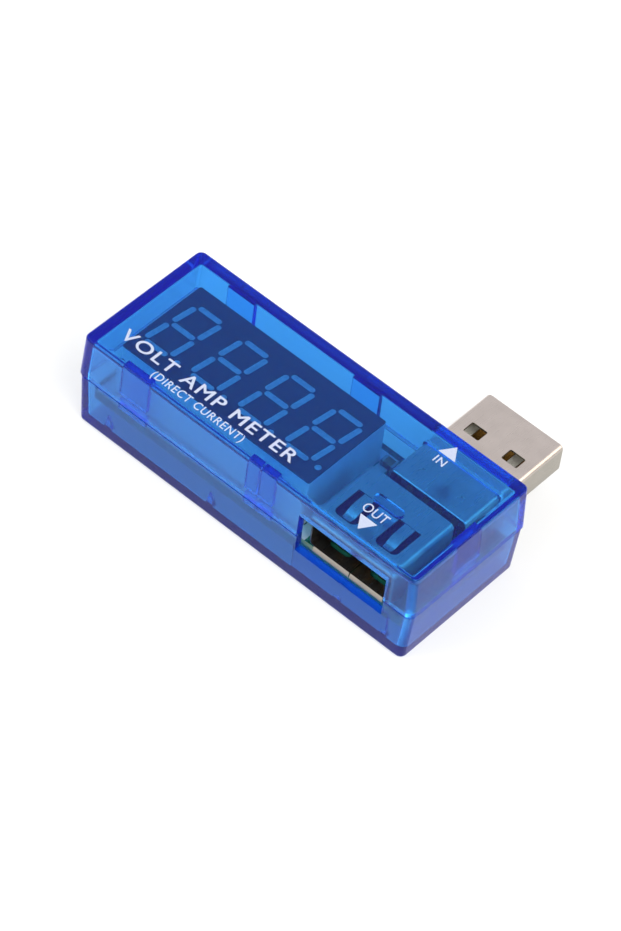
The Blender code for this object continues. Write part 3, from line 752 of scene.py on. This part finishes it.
def makeLatch(place, material):
    node = "latch_spring_" + place
    name = "latch" + place.title().replace("_", "")
    low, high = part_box(node)
    upper = place.startswith("top")
    sizes = latchSizes
    middleX, half, thick = (low.x + high.x) / 2, sizes["width"] / 2, sizes["thick"]
    lowZ, highZ = (high.z - thick, high.z) if upper else (low.z, low.z + thick)
    strip = addBox(name, (middleX - half, high.y - sizes["root"], lowZ), (middleX + half, high.y, highZ))
    for forward, inward, ratio in sizes["bends"]:
        lift = -inward * mm if upper else inward * mm
        grow(strip, lambda middle, normal: normal.y < -0.6, (0, -forward * mm, lift), (ratio, 1, 1))
    tip = lambda middle, direction: middle.y < low.y + sizes["tipLength"] and abs(direction.z) > 0.5
    roundEdges(strip, tip, sizes["tipRadius"], 4)
    finishPiece(strip, material, body="latch_" + place, nodes=[node], angle=50)


# parts on the board

chipSizes = {
    # legs on a side, pitch
    "microcontroller": (10, 0.65 * mm),
    "amplifier": (4, 1.27 * mm),
    "legReach": 1.25 * mm,
    "legThick": 0.18 * mm,
    # half the width as a share of the pitch, shoulder before and behind the body's side, fall, foot
    "legHalf": 0.3,
    "shoulder": (0.45 * mm, 0.2 * mm),
    "fall": 0.25 * mm,
    "foot": 0.7 * mm,
    "sideInset": 0.1 * mm,
    "standoff": 0.12 * mm,
    "draft": (0.97, 0.93, 1),
    "edge": 0.08 * mm,
    "markRadius": 0.4 * mm,
    "markInset": 0.9 * mm,
    "markDepth": 0.16 * mm,
}

capSizes = {
    "capacitor": 0.42 * mm,
    "resistor": 0.3 * mm,
    "shunt": 0.75 * mm,
    "bodyInset": 0.05 * mm,
    # the body starts this share of a cap's length in
    "bodyStart": 0.9,
    "capRound": 0.1 * mm,
    "glazeEdge": 0.12 * mm,
    "glaze": 0.03 * mm,
}

regulatorSizes = {
    "front": 0.45 * mm,
    "back": 0.3 * mm,
    "lift": 0.25 * mm,
    "draft": (0.94, 0.9, 1),
    "edge": 0.08 * mm,
    "tabSide": 1.4 * mm,
    "tabDepth": 1.4 * mm,
    "tabThick": 0.35 * mm,
    "tabCorner": 0.25 * mm,
    "pitch": 1.5 * mm,
    "legHalf": 0.25 * mm,
    "legLength": 0.8 * mm,
    "legThick": 0.3 * mm,
}


def makeChip(node, bodyMaterial, legMaterial):
    sizes = chipSizes
    count, pitch = sizes[node]
    low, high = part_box(node)
    reach, thick = sizes["legReach"], sizes["legThick"]
    middleX, middleY = (low.x + high.x) / 2, (low.y + high.y) / 2
    levelZ = (low.z + high.z) / 2
    body = addBox("chipBody", (low.x, low.y + reach, low.z), (high.x, high.y - reach, levelZ))
    grow(body, facing(2, 1), (0, 0, high.z - sizes["standoff"] - levelZ), sizes["draft"])
    shape(body, "FACE", facing(2, -1), bpy.ops.transform.resize, value=sizes["draft"],
          center_override=(middleX, middleY, low.z))
    roundEdges(body, levelAt(low.z), sizes["edge"], 2)
    # the dimple beside leg one
    place = (low.x + sizes["markInset"], low.y + reach + sizes["markInset"], low.z)
    combine(body, addRod("mark", place, sizes["markRadius"], sizes["markDepth"], 20))
    paint(body, bodyMaterial)
    side = low.y + reach + sizes["sideInset"]
    half = sizes["legHalf"] * pitch
    before, behind = sizes["shoulder"]
    leg = addBox("leg", (-half, side - before, levelZ - thick / 2), (half, side + behind, levelZ + thick / 2))
    front = lambda middle, normal: normal.y < -0.7
    grow(leg, front, (0, -sizes["fall"], high.z - levelZ - thick))
    grow(leg, front, (0, low.y - side + sizes["foot"], thick / 2), (1, 1, 0.9))
    paint(leg, legMaterial)
    pieces = [body]
    for number in range(count):
        x = middleX + (number - (count - 1) / 2) * pitch
        pieces.append(moved(duplicate(leg, "legCopy"), (x, 0, 0)))
        other = duplicate(leg, "legCopy")
        other.rotation_euler = (0, 0, math.pi)
        pieces.append(moved(other, (x, 2 * middleY, 0)))
    bpy.data.objects.remove(leg)
    return finishPiece(joinAll(node + "Piece", pieces), nodes=[node])


def makeCappedPart(node, cap, bodyMaterial, capMaterial):
    sizes = capSizes
    low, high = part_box(node)
    rim, start = sizes["bodyInset"], cap * sizes["bodyStart"]
    body = addBox("partBody", (low.x + start, low.y + rim, low.z + rim),
                  (high.x - start, high.y - rim, high.z - rim))
    shape(body, "FACE", facing(2, -1), bpy.ops.mesh.inset, thickness=sizes["glazeEdge"], depth=sizes["glaze"])
    paint(body, bodyMaterial)
    pieces = [body]
    for left, right in ((low.x, low.x + cap), (high.x - cap, high.x)):
        end = addBox("cap", (left, low.y, low.z), (right, high.y, high.z))
        roundEdges(end, lambda middle, direction: True, sizes["capRound"], 3)
        pieces.append(paint(end, capMaterial))
    return finishPiece(joinAll(node + "Piece", pieces), nodes=[node])


def makeRegulator(node, bodyMaterial, legMaterial):
    sizes = regulatorSizes
    low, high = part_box(node)
    middle = ((low.x + high.x) / 2, (low.y + high.y) / 2, low.z)
    body = addBox("regulatorBody", (low.x, low.y + sizes["front"], low.z),
                  (high.x, high.y - sizes["back"], high.z - sizes["lift"]))
    shape(body, "FACE", facing(2, -1), bpy.ops.transform.resize, value=sizes["draft"], center_override=middle)
    roundEdges(body, levelAt(low.z), sizes["edge"], 2)
    tab = addBox("tab", (low.x + sizes["tabSide"], high.y - sizes["tabDepth"], high.z - sizes["tabThick"]),
                 (high.x - sizes["tabSide"], high.y, high.z))
    roundEdges(tab, along(2), sizes["tabCorner"], 3)
    pieces = [paint(body, bodyMaterial), paint(tab, legMaterial)]
    half = sizes["legHalf"]
    for number in (-1, 0, 1):
        x = middle[0] + number * sizes["pitch"]
        leg = addBox("leg", (x - half, low.y, high.z - sizes["legThick"]),
                     (x + half, low.y + sizes["legLength"], high.z))
        roundEdges(leg, along(0), sizes["edge"], 2)
        pieces.append(paint(leg, legMaterial))
    return finishPiece(joinAll(node + "Piece", pieces), nodes=[node])


solderSizes = {
    "radius": 0.78 * mm,
    "legRadius": 1.0 * mm,
    "foot": 0.06 * mm,
    # the bent contacts leave the board a little inside their ends
    "inward": 0.12 * mm,
    # rise and narrowing of each step, from the board to the wire
    "steps": ((0.16 * mm, 0.72), (0.22 * mm, 0.7), (0.3 * mm, 0.8)),
}


def solderCone(name, radius):
    foot = solderSizes["foot"]
    cone = addRod(name, (0, 0, boardBox[0].z - foot / 2), radius, foot, 20)
    for rise, ratio in solderSizes["steps"]:
        grow(cone, facing(2, -1), (0, 0, -rise), (ratio, ratio, 1))
    return cone


def makeSolder(material):
    sizes = solderSizes
    cone = solderCone("cone", sizes["radius"])
    places = []
    for number in range(1, 13):
        low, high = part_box("display_pin_" + str(number))
        places.append(((low.x + high.x) / 2, (low.y + high.y) / 2))
    for kind in ("plug_contact_", "socket_contact_tail_"):
        for number in range(1, 5):
            low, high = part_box(kind + str(number))
            y = low.y + sizes["inward"] if kind == "plug_contact_" else high.y - sizes["inward"]
            places.append(((low.x + high.x) / 2, y))
    copies = [moved(duplicate(cone, "coneCopy"), (x, y, 0)) for x, y in places]
    bpy.data.objects.remove(cone)
    wide = solderCone("wideCone", sizes["legRadius"])
    half = shieldSizes["sheet"] / 2
    for box, y in ((plugBox, plugSizes["legY"]), (socketBox, socketSizes["legY"])):
        for x in (box[0].x + half, box[1].x - half):
            copies.append(moved(duplicate(wide, "coneCopy"), (x, y, 0)))
    bpy.data.objects.remove(wide)
    finishPiece(joinAll("solderJoints", copies), material)


# print on the roof

printSizes = {
    "ink": 0.015 * mm,
    # height of a capital in the built-in letters, and their depth before scaling
    "capital": 0.69,
    "depth": 0.02,
    "arrowCorner": 0.06 * mm,
    # words, left, right, baseline, letter height, weight, letter spacing
    "title": ("VOLT AMP METER", -23.45 * mm, 4.25 * mm, -7.37 * mm, 1.9 * mm, 0.024, 1.13),
    "note": ("(DIRECT CURRENT)", -16.55 * mm, -2.05 * mm, -9.27 * mm, 1.2 * mm, 0.012, 1.12),
    "inWord": ("IN", 15.5 * mm, 17.05 * mm, 5.2 * mm, 1.2 * mm, 0.02, 1.1),
    "outWord": ("OUT", 14.55 * mm, 18.1 * mm, -6.55 * mm, 1.4 * mm, 0.006, 1.06),
    # left, right, base, tip
    "inArrow": (15.05 * mm, 17.65 * mm, 6.87 * mm, 8.88 * mm),
    "outArrow": (15.05 * mm, 17.65 * mm, -7.12 * mm, -9.17 * mm),
}


def makeWord(name, words, left, right, baseline, height, weight, spacing):
    deselectAll()
    bpy.ops.object.text_add()
    item = bpy.context.object
    item.data.body = words
    item.data.bevel_depth = weight * 0.5
    item.data.bevel_resolution = 1
    item.data.space_character = spacing
    item.data.extrude = printSizes["depth"] / 2
    bpy.ops.object.convert(target="MESH")
    item = bpy.context.object
    item.name = item.data.name = name
    xs = [vertex.co.x for vertex in item.data.vertices]
    scale = (right - left) / (max(xs) - min(xs))
    tall = height / (printSizes["capital"] + weight)
    item.scale = (scale, tall, printSizes["ink"] / (printSizes["depth"] + weight))
    return moved(item, (left - min(xs) * scale, baseline, caseTop + printSizes["ink"] / 2))


def makeArrow(name, left, right, base, tip):
    deselectAll()
    bpy.ops.mesh.primitive_cylinder_add(vertices=3, radius=mm, depth=printSizes["ink"])
    item = bpy.context.object
    item.name = item.data.name = name
    ys = [vertex.co.y for vertex in item.data.vertices]
    xs = [vertex.co.x for vertex in item.data.vertices]
    tall = (tip - base) / (max(ys) - min(ys))
    item.scale = ((right - left) / (max(xs) - min(xs)), tall, 1)
    moved(item, ((left + right) / 2, base - min(ys) * tall, caseTop + printSizes["ink"] / 2))
    if tall < 0:
        shape(item, "FACE", lambda middle, normal: True, bpy.ops.mesh.normals_make_consistent, inside=False)
    roundEdges(item, along(2), printSizes["arrowCorner"], 2)
    return item


def makePrint(material):
    for name in ("title", "note", "inWord", "outWord"):
        finishPiece(makeWord(name + "Print", *printSizes[name]), material)
    for name in ("inArrow", "outArrow"):
        finishPiece(makeArrow(name + "Print", *printSizes[name]), material)


# materials

finishes = {
    # dark and light colour, grain in mm, roughness from and to, height of the grain in mm
    # polystyrene with titanium white: chalky, faintly clouded where the melt flowed
    "whiteMouldedPlastic": ("e9edf0", "f6f8fa", 0.35, (0.42, 0.6), 0.006),
    # screen ink on the display's face: an even charcoal with a fine tooth
    "darkPrintedFace": ("4e5155", "606367", 0.18, (0.38, 0.52), 0.003),
    # poured casting resin: milky, a little waxy, slightly uneven inside
    "milkyEpoxyResin": ("c2c6c8", "d8dbdd", 0.5, (0.3, 0.45), 0.004),
    # pad print: thin, matt and slightly broken, so that the blue tints it
    "whitePadPrintInk": ("a7afc6", "b6bed4", 0.12, (0.45, 0.65), 0.002),
    # moulded polyester with glass fibre: dull ivory with a dry speckle
    "greyGlassFilledPlastic": ("cfccc0", "e2dfd4", 0.3, (0.45, 0.62), 0.006),
    # the same compound with carbon black: sooty and satin
    "blackGlassFilledPlastic": ("0b0b0c", "161618", 0.3, (0.38, 0.55), 0.006),
    # epoxy with silica: near black, matt and gritty like fine paper
    "blackMouldingCompound": ("141416", "222226", 0.09, (0.5, 0.68), 0.006),
    # fired ceramic: an even tan with a sugary grain
    "tanCeramic": ("9c7c55", "b49268", 0.1, (0.45, 0.6), 0.004),
    # fired glass glaze: black and wet-looking with soft dimples
    "blackResistorGlaze": ("18191d", "26272d", 0.16, (0.18, 0.32), 0.003),
}


def grained(name):
    # one random pattern drives colour, shine and height, drawn coarser than the real grain so that it shows
    dark, light, grain, roughness, height = finishes[name]
    material, tree, shader = newMaterial(name)
    setShader(shader, light, roughness[0])
    place = addNode(tree, "TexCoord")
    noise = addNode(tree, "TexNoise", {"Scale": 1 / (grain * mm), "Detail": 3.0, "Roughness": 0.6},
                    Vector=place.outputs["Object"])
    spread = addNode(tree, "MapRange", {"From Min": 0.32, "From Max": 0.68}, Value=noise.outputs["Fac"])
    colour = addNode(tree, "MixRGB", twoTones(dark, light), Fac=spread.outputs[0])
    shine = addNode(tree, "MapRange", {"To Min": roughness[0], "To Max": roughness[1]},
                    Value=spread.outputs[0])
    bump = addNode(tree, "Bump", {"Strength": 0.6, "Distance": height * mm}, Height=spread.outputs[0])
    linkFinish(tree, shader, colour, shine, bump)
    return material


metals = {
    # painted light: the lit colour facing up and the shaded colour at the sides, roughness from and to, grain
    # across and along the strip in mm
    # cold-rolled steel with bright nickel: warm grey, a soft sheen drawn out along the strip
    "nickelPlatedSteel": ("e6dad5", "a8a298", (0.26, 0.33), (0.12, 3.0)),
    # phosphor bronze with a thin gold flash: brownish yellow, a little streaked
    "goldPlatedBronze": ("cf9f55", "a87f40", (0.22, 0.36), (0.1, 1.5)),
    # solder that froze as it was: silvery, wrinkled and cloudy
    "tinLeadSolder": ("d9d9d6", "b2b2ae", (0.22, 0.42), (0.3, 0.3)),
}

shadeHeightsAndStain = {
    # between these heights the metal brightens; below them, near the board, it takes the shaded colour as
    # painted shade
    "from": 8.0 * mm,
    "to": 9.5 * mm,
    "inside": 0.15,
    "cloud": 2.5 * mm,
}


def rolledMetal(name):
    # faint lines lie along the strip, from the rollers, drawn coarser than the real ones; solder has spots
    litColour, shadedColour, roughness, grain = metals[name]
    material, tree, shader = newMaterial(name)
    setShader(shader, litColour, roughness[0], 1.0)
    place = addNode(tree, "TexCoord")
    stretch = (1 / (grain[0] * mm), 1 / (grain[1] * mm), 1 / (grain[0] * mm))
    lines = addNode(tree, "Mapping", {"Scale": stretch}, Vector=place.outputs["Object"])
    noise = addNode(tree, "TexNoise", {"Scale": 1.0, "Detail": 4.0, "Roughness": 0.65},
                    Vector=lines.outputs[0])
    clouds = addNode(tree, "TexNoise", {"Scale": 1 / shadeHeightsAndStain["cloud"], "Detail": 2.0},
                     Vector=place.outputs["Object"])
    geometry = addNode(tree, "NewGeometry")
    split = addNode(tree, "SeparateXYZ", Vector=geometry.outputs["Normal"])
    level = addNode(tree, "MapRange", {"From Min": 0.1, "From Max": 0.9}, Value=split.outputs["Z"])
    height = addNode(tree, "SeparateXYZ", Vector=place.outputs["Object"])
    outside = addNode(tree, "MapRange", {"From Min": shadeHeightsAndStain["from"], "From Max": shadeHeightsAndStain["to"],
                                         "To Min": shadeHeightsAndStain["inside"]}, Value=height.outputs["Z"])
    # painted light and shade: faces that look up and stand high take the lit colour, the sides and the low
    # parts the shaded colour
    paintedLight = addNode(tree, "Math", {"operation": "MULTIPLY"})
    tree.links.new(level.outputs[0], paintedLight.inputs[0])
    tree.links.new(outside.outputs[0], paintedLight.inputs[1])
    colour = addNode(tree, "MixRGB", twoTones(shadedColour, litColour), Fac=paintedLight.outputs[0])
    stain = addNode(tree, "MapRange", {"From Min": 0.35, "From Max": 0.75, "To Min": 1.0, "To Max": 0.9},
                    Value=clouds.outputs["Fac"])
    tone = addNode(tree, "MixRGB", {"blend_type": "MULTIPLY", "Fac": 1.0},
                   Color1=colour.outputs[0], Color2=stain.outputs[0])
    shine = addNode(tree, "MapRange", {"From Min": 0.3, "From Max": 0.7, "To Min": roughness[0],
                                       "To Max": roughness[1]}, Value=noise.outputs["Fac"])
    bump = addNode(tree, "Bump", {"Strength": 0.1, "Distance": 0.001 * mm}, Height=noise.outputs["Fac"])
    linkFinish(tree, shader, tone, shine, bump)
    return material


boardFinish = {
    "mask": "1b6352",
    "maskOverCopper": "2a8068",
    "laminate": "8ba386",
    "fibre": "6d9084",
    "whiteFrame": "dfe4e2",
    # the white frame lies between these distances from the display's foot
    "frameFrom": 0.05 * mm,
    "frameTo": 1.6 * mm,
    "trackPitch": 1.1 * mm,
    "trackLength": 7.3 * mm,
    "trackGap": 0.3 * mm,
    "patch": 5.0 * mm,
    "layer": 0.2 * mm,
    "maskHeight": 0.03 * mm,
}


def makeBoardMaterial():
    # screened solder mask on woven glass laminate: glossy green, paler over copper, dull layers at the edge
    values = boardFinish
    material, tree, shader = newMaterial("greenSolderMaskOnLaminate")
    setShader(shader, values["mask"], 0.22)
    place = addNode(tree, "TexCoord")
    white, black = (1, 1, 1, 1), (0, 0, 0, 1)
    rows = {"Scale": 1.0, "Brick Width": values["trackLength"], "Row Height": values["trackPitch"],
            "Mortar Size": values["trackGap"] / 2, "Mortar Smooth": 0.1, "Bias": -1.0,
            "Color1": white, "Color2": white, "Mortar": black}
    tracks = addNode(tree, "TexBrick", rows, Vector=place.outputs["Object"])
    patches = addNode(tree, "TexVoronoi", {"Scale": 1 / values["patch"], "distance": "MANHATTAN"},
                      Vector=place.outputs["Object"])
    copper = addNode(tree, "Math", {"operation": "MULTIPLY"})
    edge = addNode(tree, "MapRange", {"From Min": 0.35, "From Max": 0.4}, Value=patches.outputs["Distance"])
    tree.links.new(tracks.outputs["Color"], copper.inputs[0])
    tree.links.new(edge.outputs[0], copper.inputs[1])
    mask = addNode(tree, "MixRGB", twoTones(values["mask"], values["maskOverCopper"]), Fac=copper.outputs[0])
    # a wave texture's own period is 0.314 over its scale
    layers = addNode(tree, "TexWave", {"bands_direction": "Z", "Scale": 0.314 / values["layer"],
                                       "Distortion": 2.0, "Detail Scale": 4.0},
                     Vector=place.outputs["Object"])
    side = addNode(tree, "MixRGB", twoTones(values["laminate"], values["fibre"]), Fac=layers.outputs["Fac"])
    geometry = addNode(tree, "NewGeometry")
    split = addNode(tree, "SeparateXYZ", Vector=geometry.outputs["Normal"])
    upright = addNode(tree, "Math", {"operation": "ABSOLUTE"})
    tree.links.new(split.outputs["Z"], upright.inputs[0])
    isFace = addNode(tree, "MapRange", {"From Min": 0.45, "From Max": 0.55}, Value=upright.outputs[0])
    isTop = addNode(tree, "MapRange", {"From Min": 0.45, "From Max": 0.55}, Value=split.outputs["Z"])
    # the board turns white in a frame around the display's foot
    away = boxDistance(tree, displayMiddle, (displayBox[1] - displayBox[0]) / 2)
    whiteFrame = isTop
    for test, limit in (("GREATER_THAN", values["frameFrom"]), ("LESS_THAN", values["frameTo"])):
        end = addNode(tree, "Math", {"operation": test, 1: limit})
        both = addNode(tree, "Math", {"operation": "MULTIPLY"})
        tree.links.new(away, end.inputs[0])
        tree.links.new(whiteFrame.outputs[0], both.inputs[0])
        tree.links.new(end.outputs[0], both.inputs[1])
        whiteFrame = both
    framed = addNode(tree, "MixRGB", {"Color2": (*srgb(values["whiteFrame"]), 1)},
                      Fac=whiteFrame.outputs[0], Color1=mask.outputs[0])
    colour = addNode(tree, "MixRGB", Fac=isFace.outputs[0], Color1=side.outputs[0],
                     Color2=framed.outputs[0])
    shine = addNode(tree, "MapRange", {"To Min": 0.62, "To Max": 0.22}, Value=isFace.outputs[0])
    bump = addNode(tree, "Bump", {"Strength": 0.5, "Distance": values["maskHeight"]},
                   Height=copper.outputs[0])
    linkFinish(tree, shader, colour, shine, bump)
    return material


bluePlasticFinish = {
    # how strongly each millimetre takes away red, green and blue
    "perMm": (1.1, 0.34, 0.025),
    "density": 1300.0,
    "ior": 1.46,
    # of the eroded sides, then of the polished roof and base
    "roughness": (0.2, 0.045),
    "grain": 0.25 * mm,
    "roughnessSpread": 0.02,
    "tint": (0.3, 0.4, 1.0, 1),
    "bloom": (0.1, 0.08, 1.0, 1),
}


def makeBluePlastic():
    # dyed polycarbonate, injection moulded: clear deep blue, polished roof, finely eroded sides that blur
    values = bluePlasticFinish
    material, tree, shader = newMaterial("blueClearPolycarbonate")
    setShader(shader, "ffffff", 0.05, ior=values["ior"])
    shader.inputs["Transmission Weight"].default_value = 1.0
    shader.inputs["Specular Tint"].default_value = values["tint"]
    shader.inputs["Sheen Weight"].default_value = 0.2
    shader.inputs["Sheen Roughness"].default_value = 0.7
    shader.inputs["Sheen Tint"].default_value = values["bloom"]
    geometry = addNode(tree, "NewGeometry")
    split = addNode(tree, "SeparateXYZ", Vector=geometry.outputs["Normal"])
    upright = addNode(tree, "Math", {"operation": "ABSOLUTE"})
    tree.links.new(split.outputs["Z"], upright.inputs[0])
    place = addNode(tree, "TexCoord")
    # the erosion is drawn coarser than it is, so that it shows
    grain = addNode(tree, "TexNoise", {"Scale": 1 / values["grain"], "Detail": 3.0},
                    Vector=place.outputs["Object"])
    spread = values["roughnessSpread"]
    spark = addNode(tree, "MapRange", {"From Min": 0.35, "From Max": 0.65, "To Min": -spread,
                                       "To Max": spread}, Value=grain.outputs["Fac"])
    sides, roof = values["roughness"]
    polished = addNode(tree, "MapRange", {"From Min": 0.9, "From Max": 0.99, "To Min": sides, "To Max": roof},
                       Value=upright.outputs[0])
    shine = addNode(tree, "Math", {"operation": "ADD"})
    tree.links.new(polished.outputs[0], shine.inputs[0])
    tree.links.new(spark.outputs[0], shine.inputs[1])
    tree.links.new(shine.outputs[0], shader.inputs["Roughness"])
    colour = [1 - value / mm / values["density"] for value in values["perMm"]]
    volume = addNode(tree, "VolumeAbsorption", {"Density": values["density"], "Color": (*colour, 1)})
    tree.links.new(volume.outputs[0], tree.nodes["Material Output"].inputs["Volume"])
    return material


makeCamera()
makeStudio()
bluePlastic = makeBluePlastic()
whitePlastic = grained("whiteMouldedPlastic")
darkFace = grained("darkPrintedFace")
milkyResin = grained("milkyEpoxyResin")
printInk = grained("whitePadPrintInk")
greyPlastic = grained("greyGlassFilledPlastic")
blackPlastic = grained("blackGlassFilledPlastic")
chipBlack = grained("blackMouldingCompound")
tanCeramic = grained("tanCeramic")
resistorGlaze = grained("blackResistorGlaze")
nickel = rolledMetal("nickelPlatedSteel")
gold = rolledMetal("goldPlatedBronze")
tin = rolledMetal("tinLeadSolder")
boardGreen = makeBoardMaterial()
print("materials done")
makeTopShell(bluePlastic)
makeBottomShell(bluePlastic)
print("case done")
makeDisplay(whitePlastic, darkFace, milkyResin)
print("display done")
makePlugShell(nickel)
makeSocketShell(nickel)
for place in ("top_left", "top_right", "bottom_left", "bottom_right"):
    makeLatch(place, nickel)
print("plug and socket done")
for node in ("microcontroller", "amplifier"):
    makeChip(node, chipBlack, tin)
makeRegulator("voltage_regulator", chipBlack, tin)
makeCappedPart("shunt_resistor", capSizes["shunt"], resistorGlaze, tin)
for number in range(1, 5):
    makeCappedPart("capacitor_" + str(number), capSizes["capacitor"], tanCeramic, tin)
for number in range(1, 7):
    makeCappedPart("resistor_" + str(number), capSizes["resistor"], resistorGlaze, tin)
makeSolder(tin)
print("board parts done")
makePrint(printInk)
print("print done")

# the CAD nodes that stay visible, and those under a finer piece, take the finish of their slot
nodeMaterials = {
    "blue_clear_plastic": bluePlastic,
    "board_laminate": boardGreen,
    "display_plastic": whitePlastic,
    "milky_resin": milkyResin,
    "tinned_wire": tin,
    "nickel_plate": nickel,
    "gold_plate": gold,
    "grey_insulator": greyPlastic,
    "black_insulator": blackPlastic,
    "chip_epoxy": chipBlack,
    "tan_ceramic": tanCeramic,
    "resistor_glaze": resistorGlaze,
}
slots = {row["node"]: row["material_slot"] for row in frame["record"]["subparts"]}
for name, node in frame["nodes"].items():
    node.data.materials.clear()
    node.data.materials.append(nodeMaterials[slots[name]])
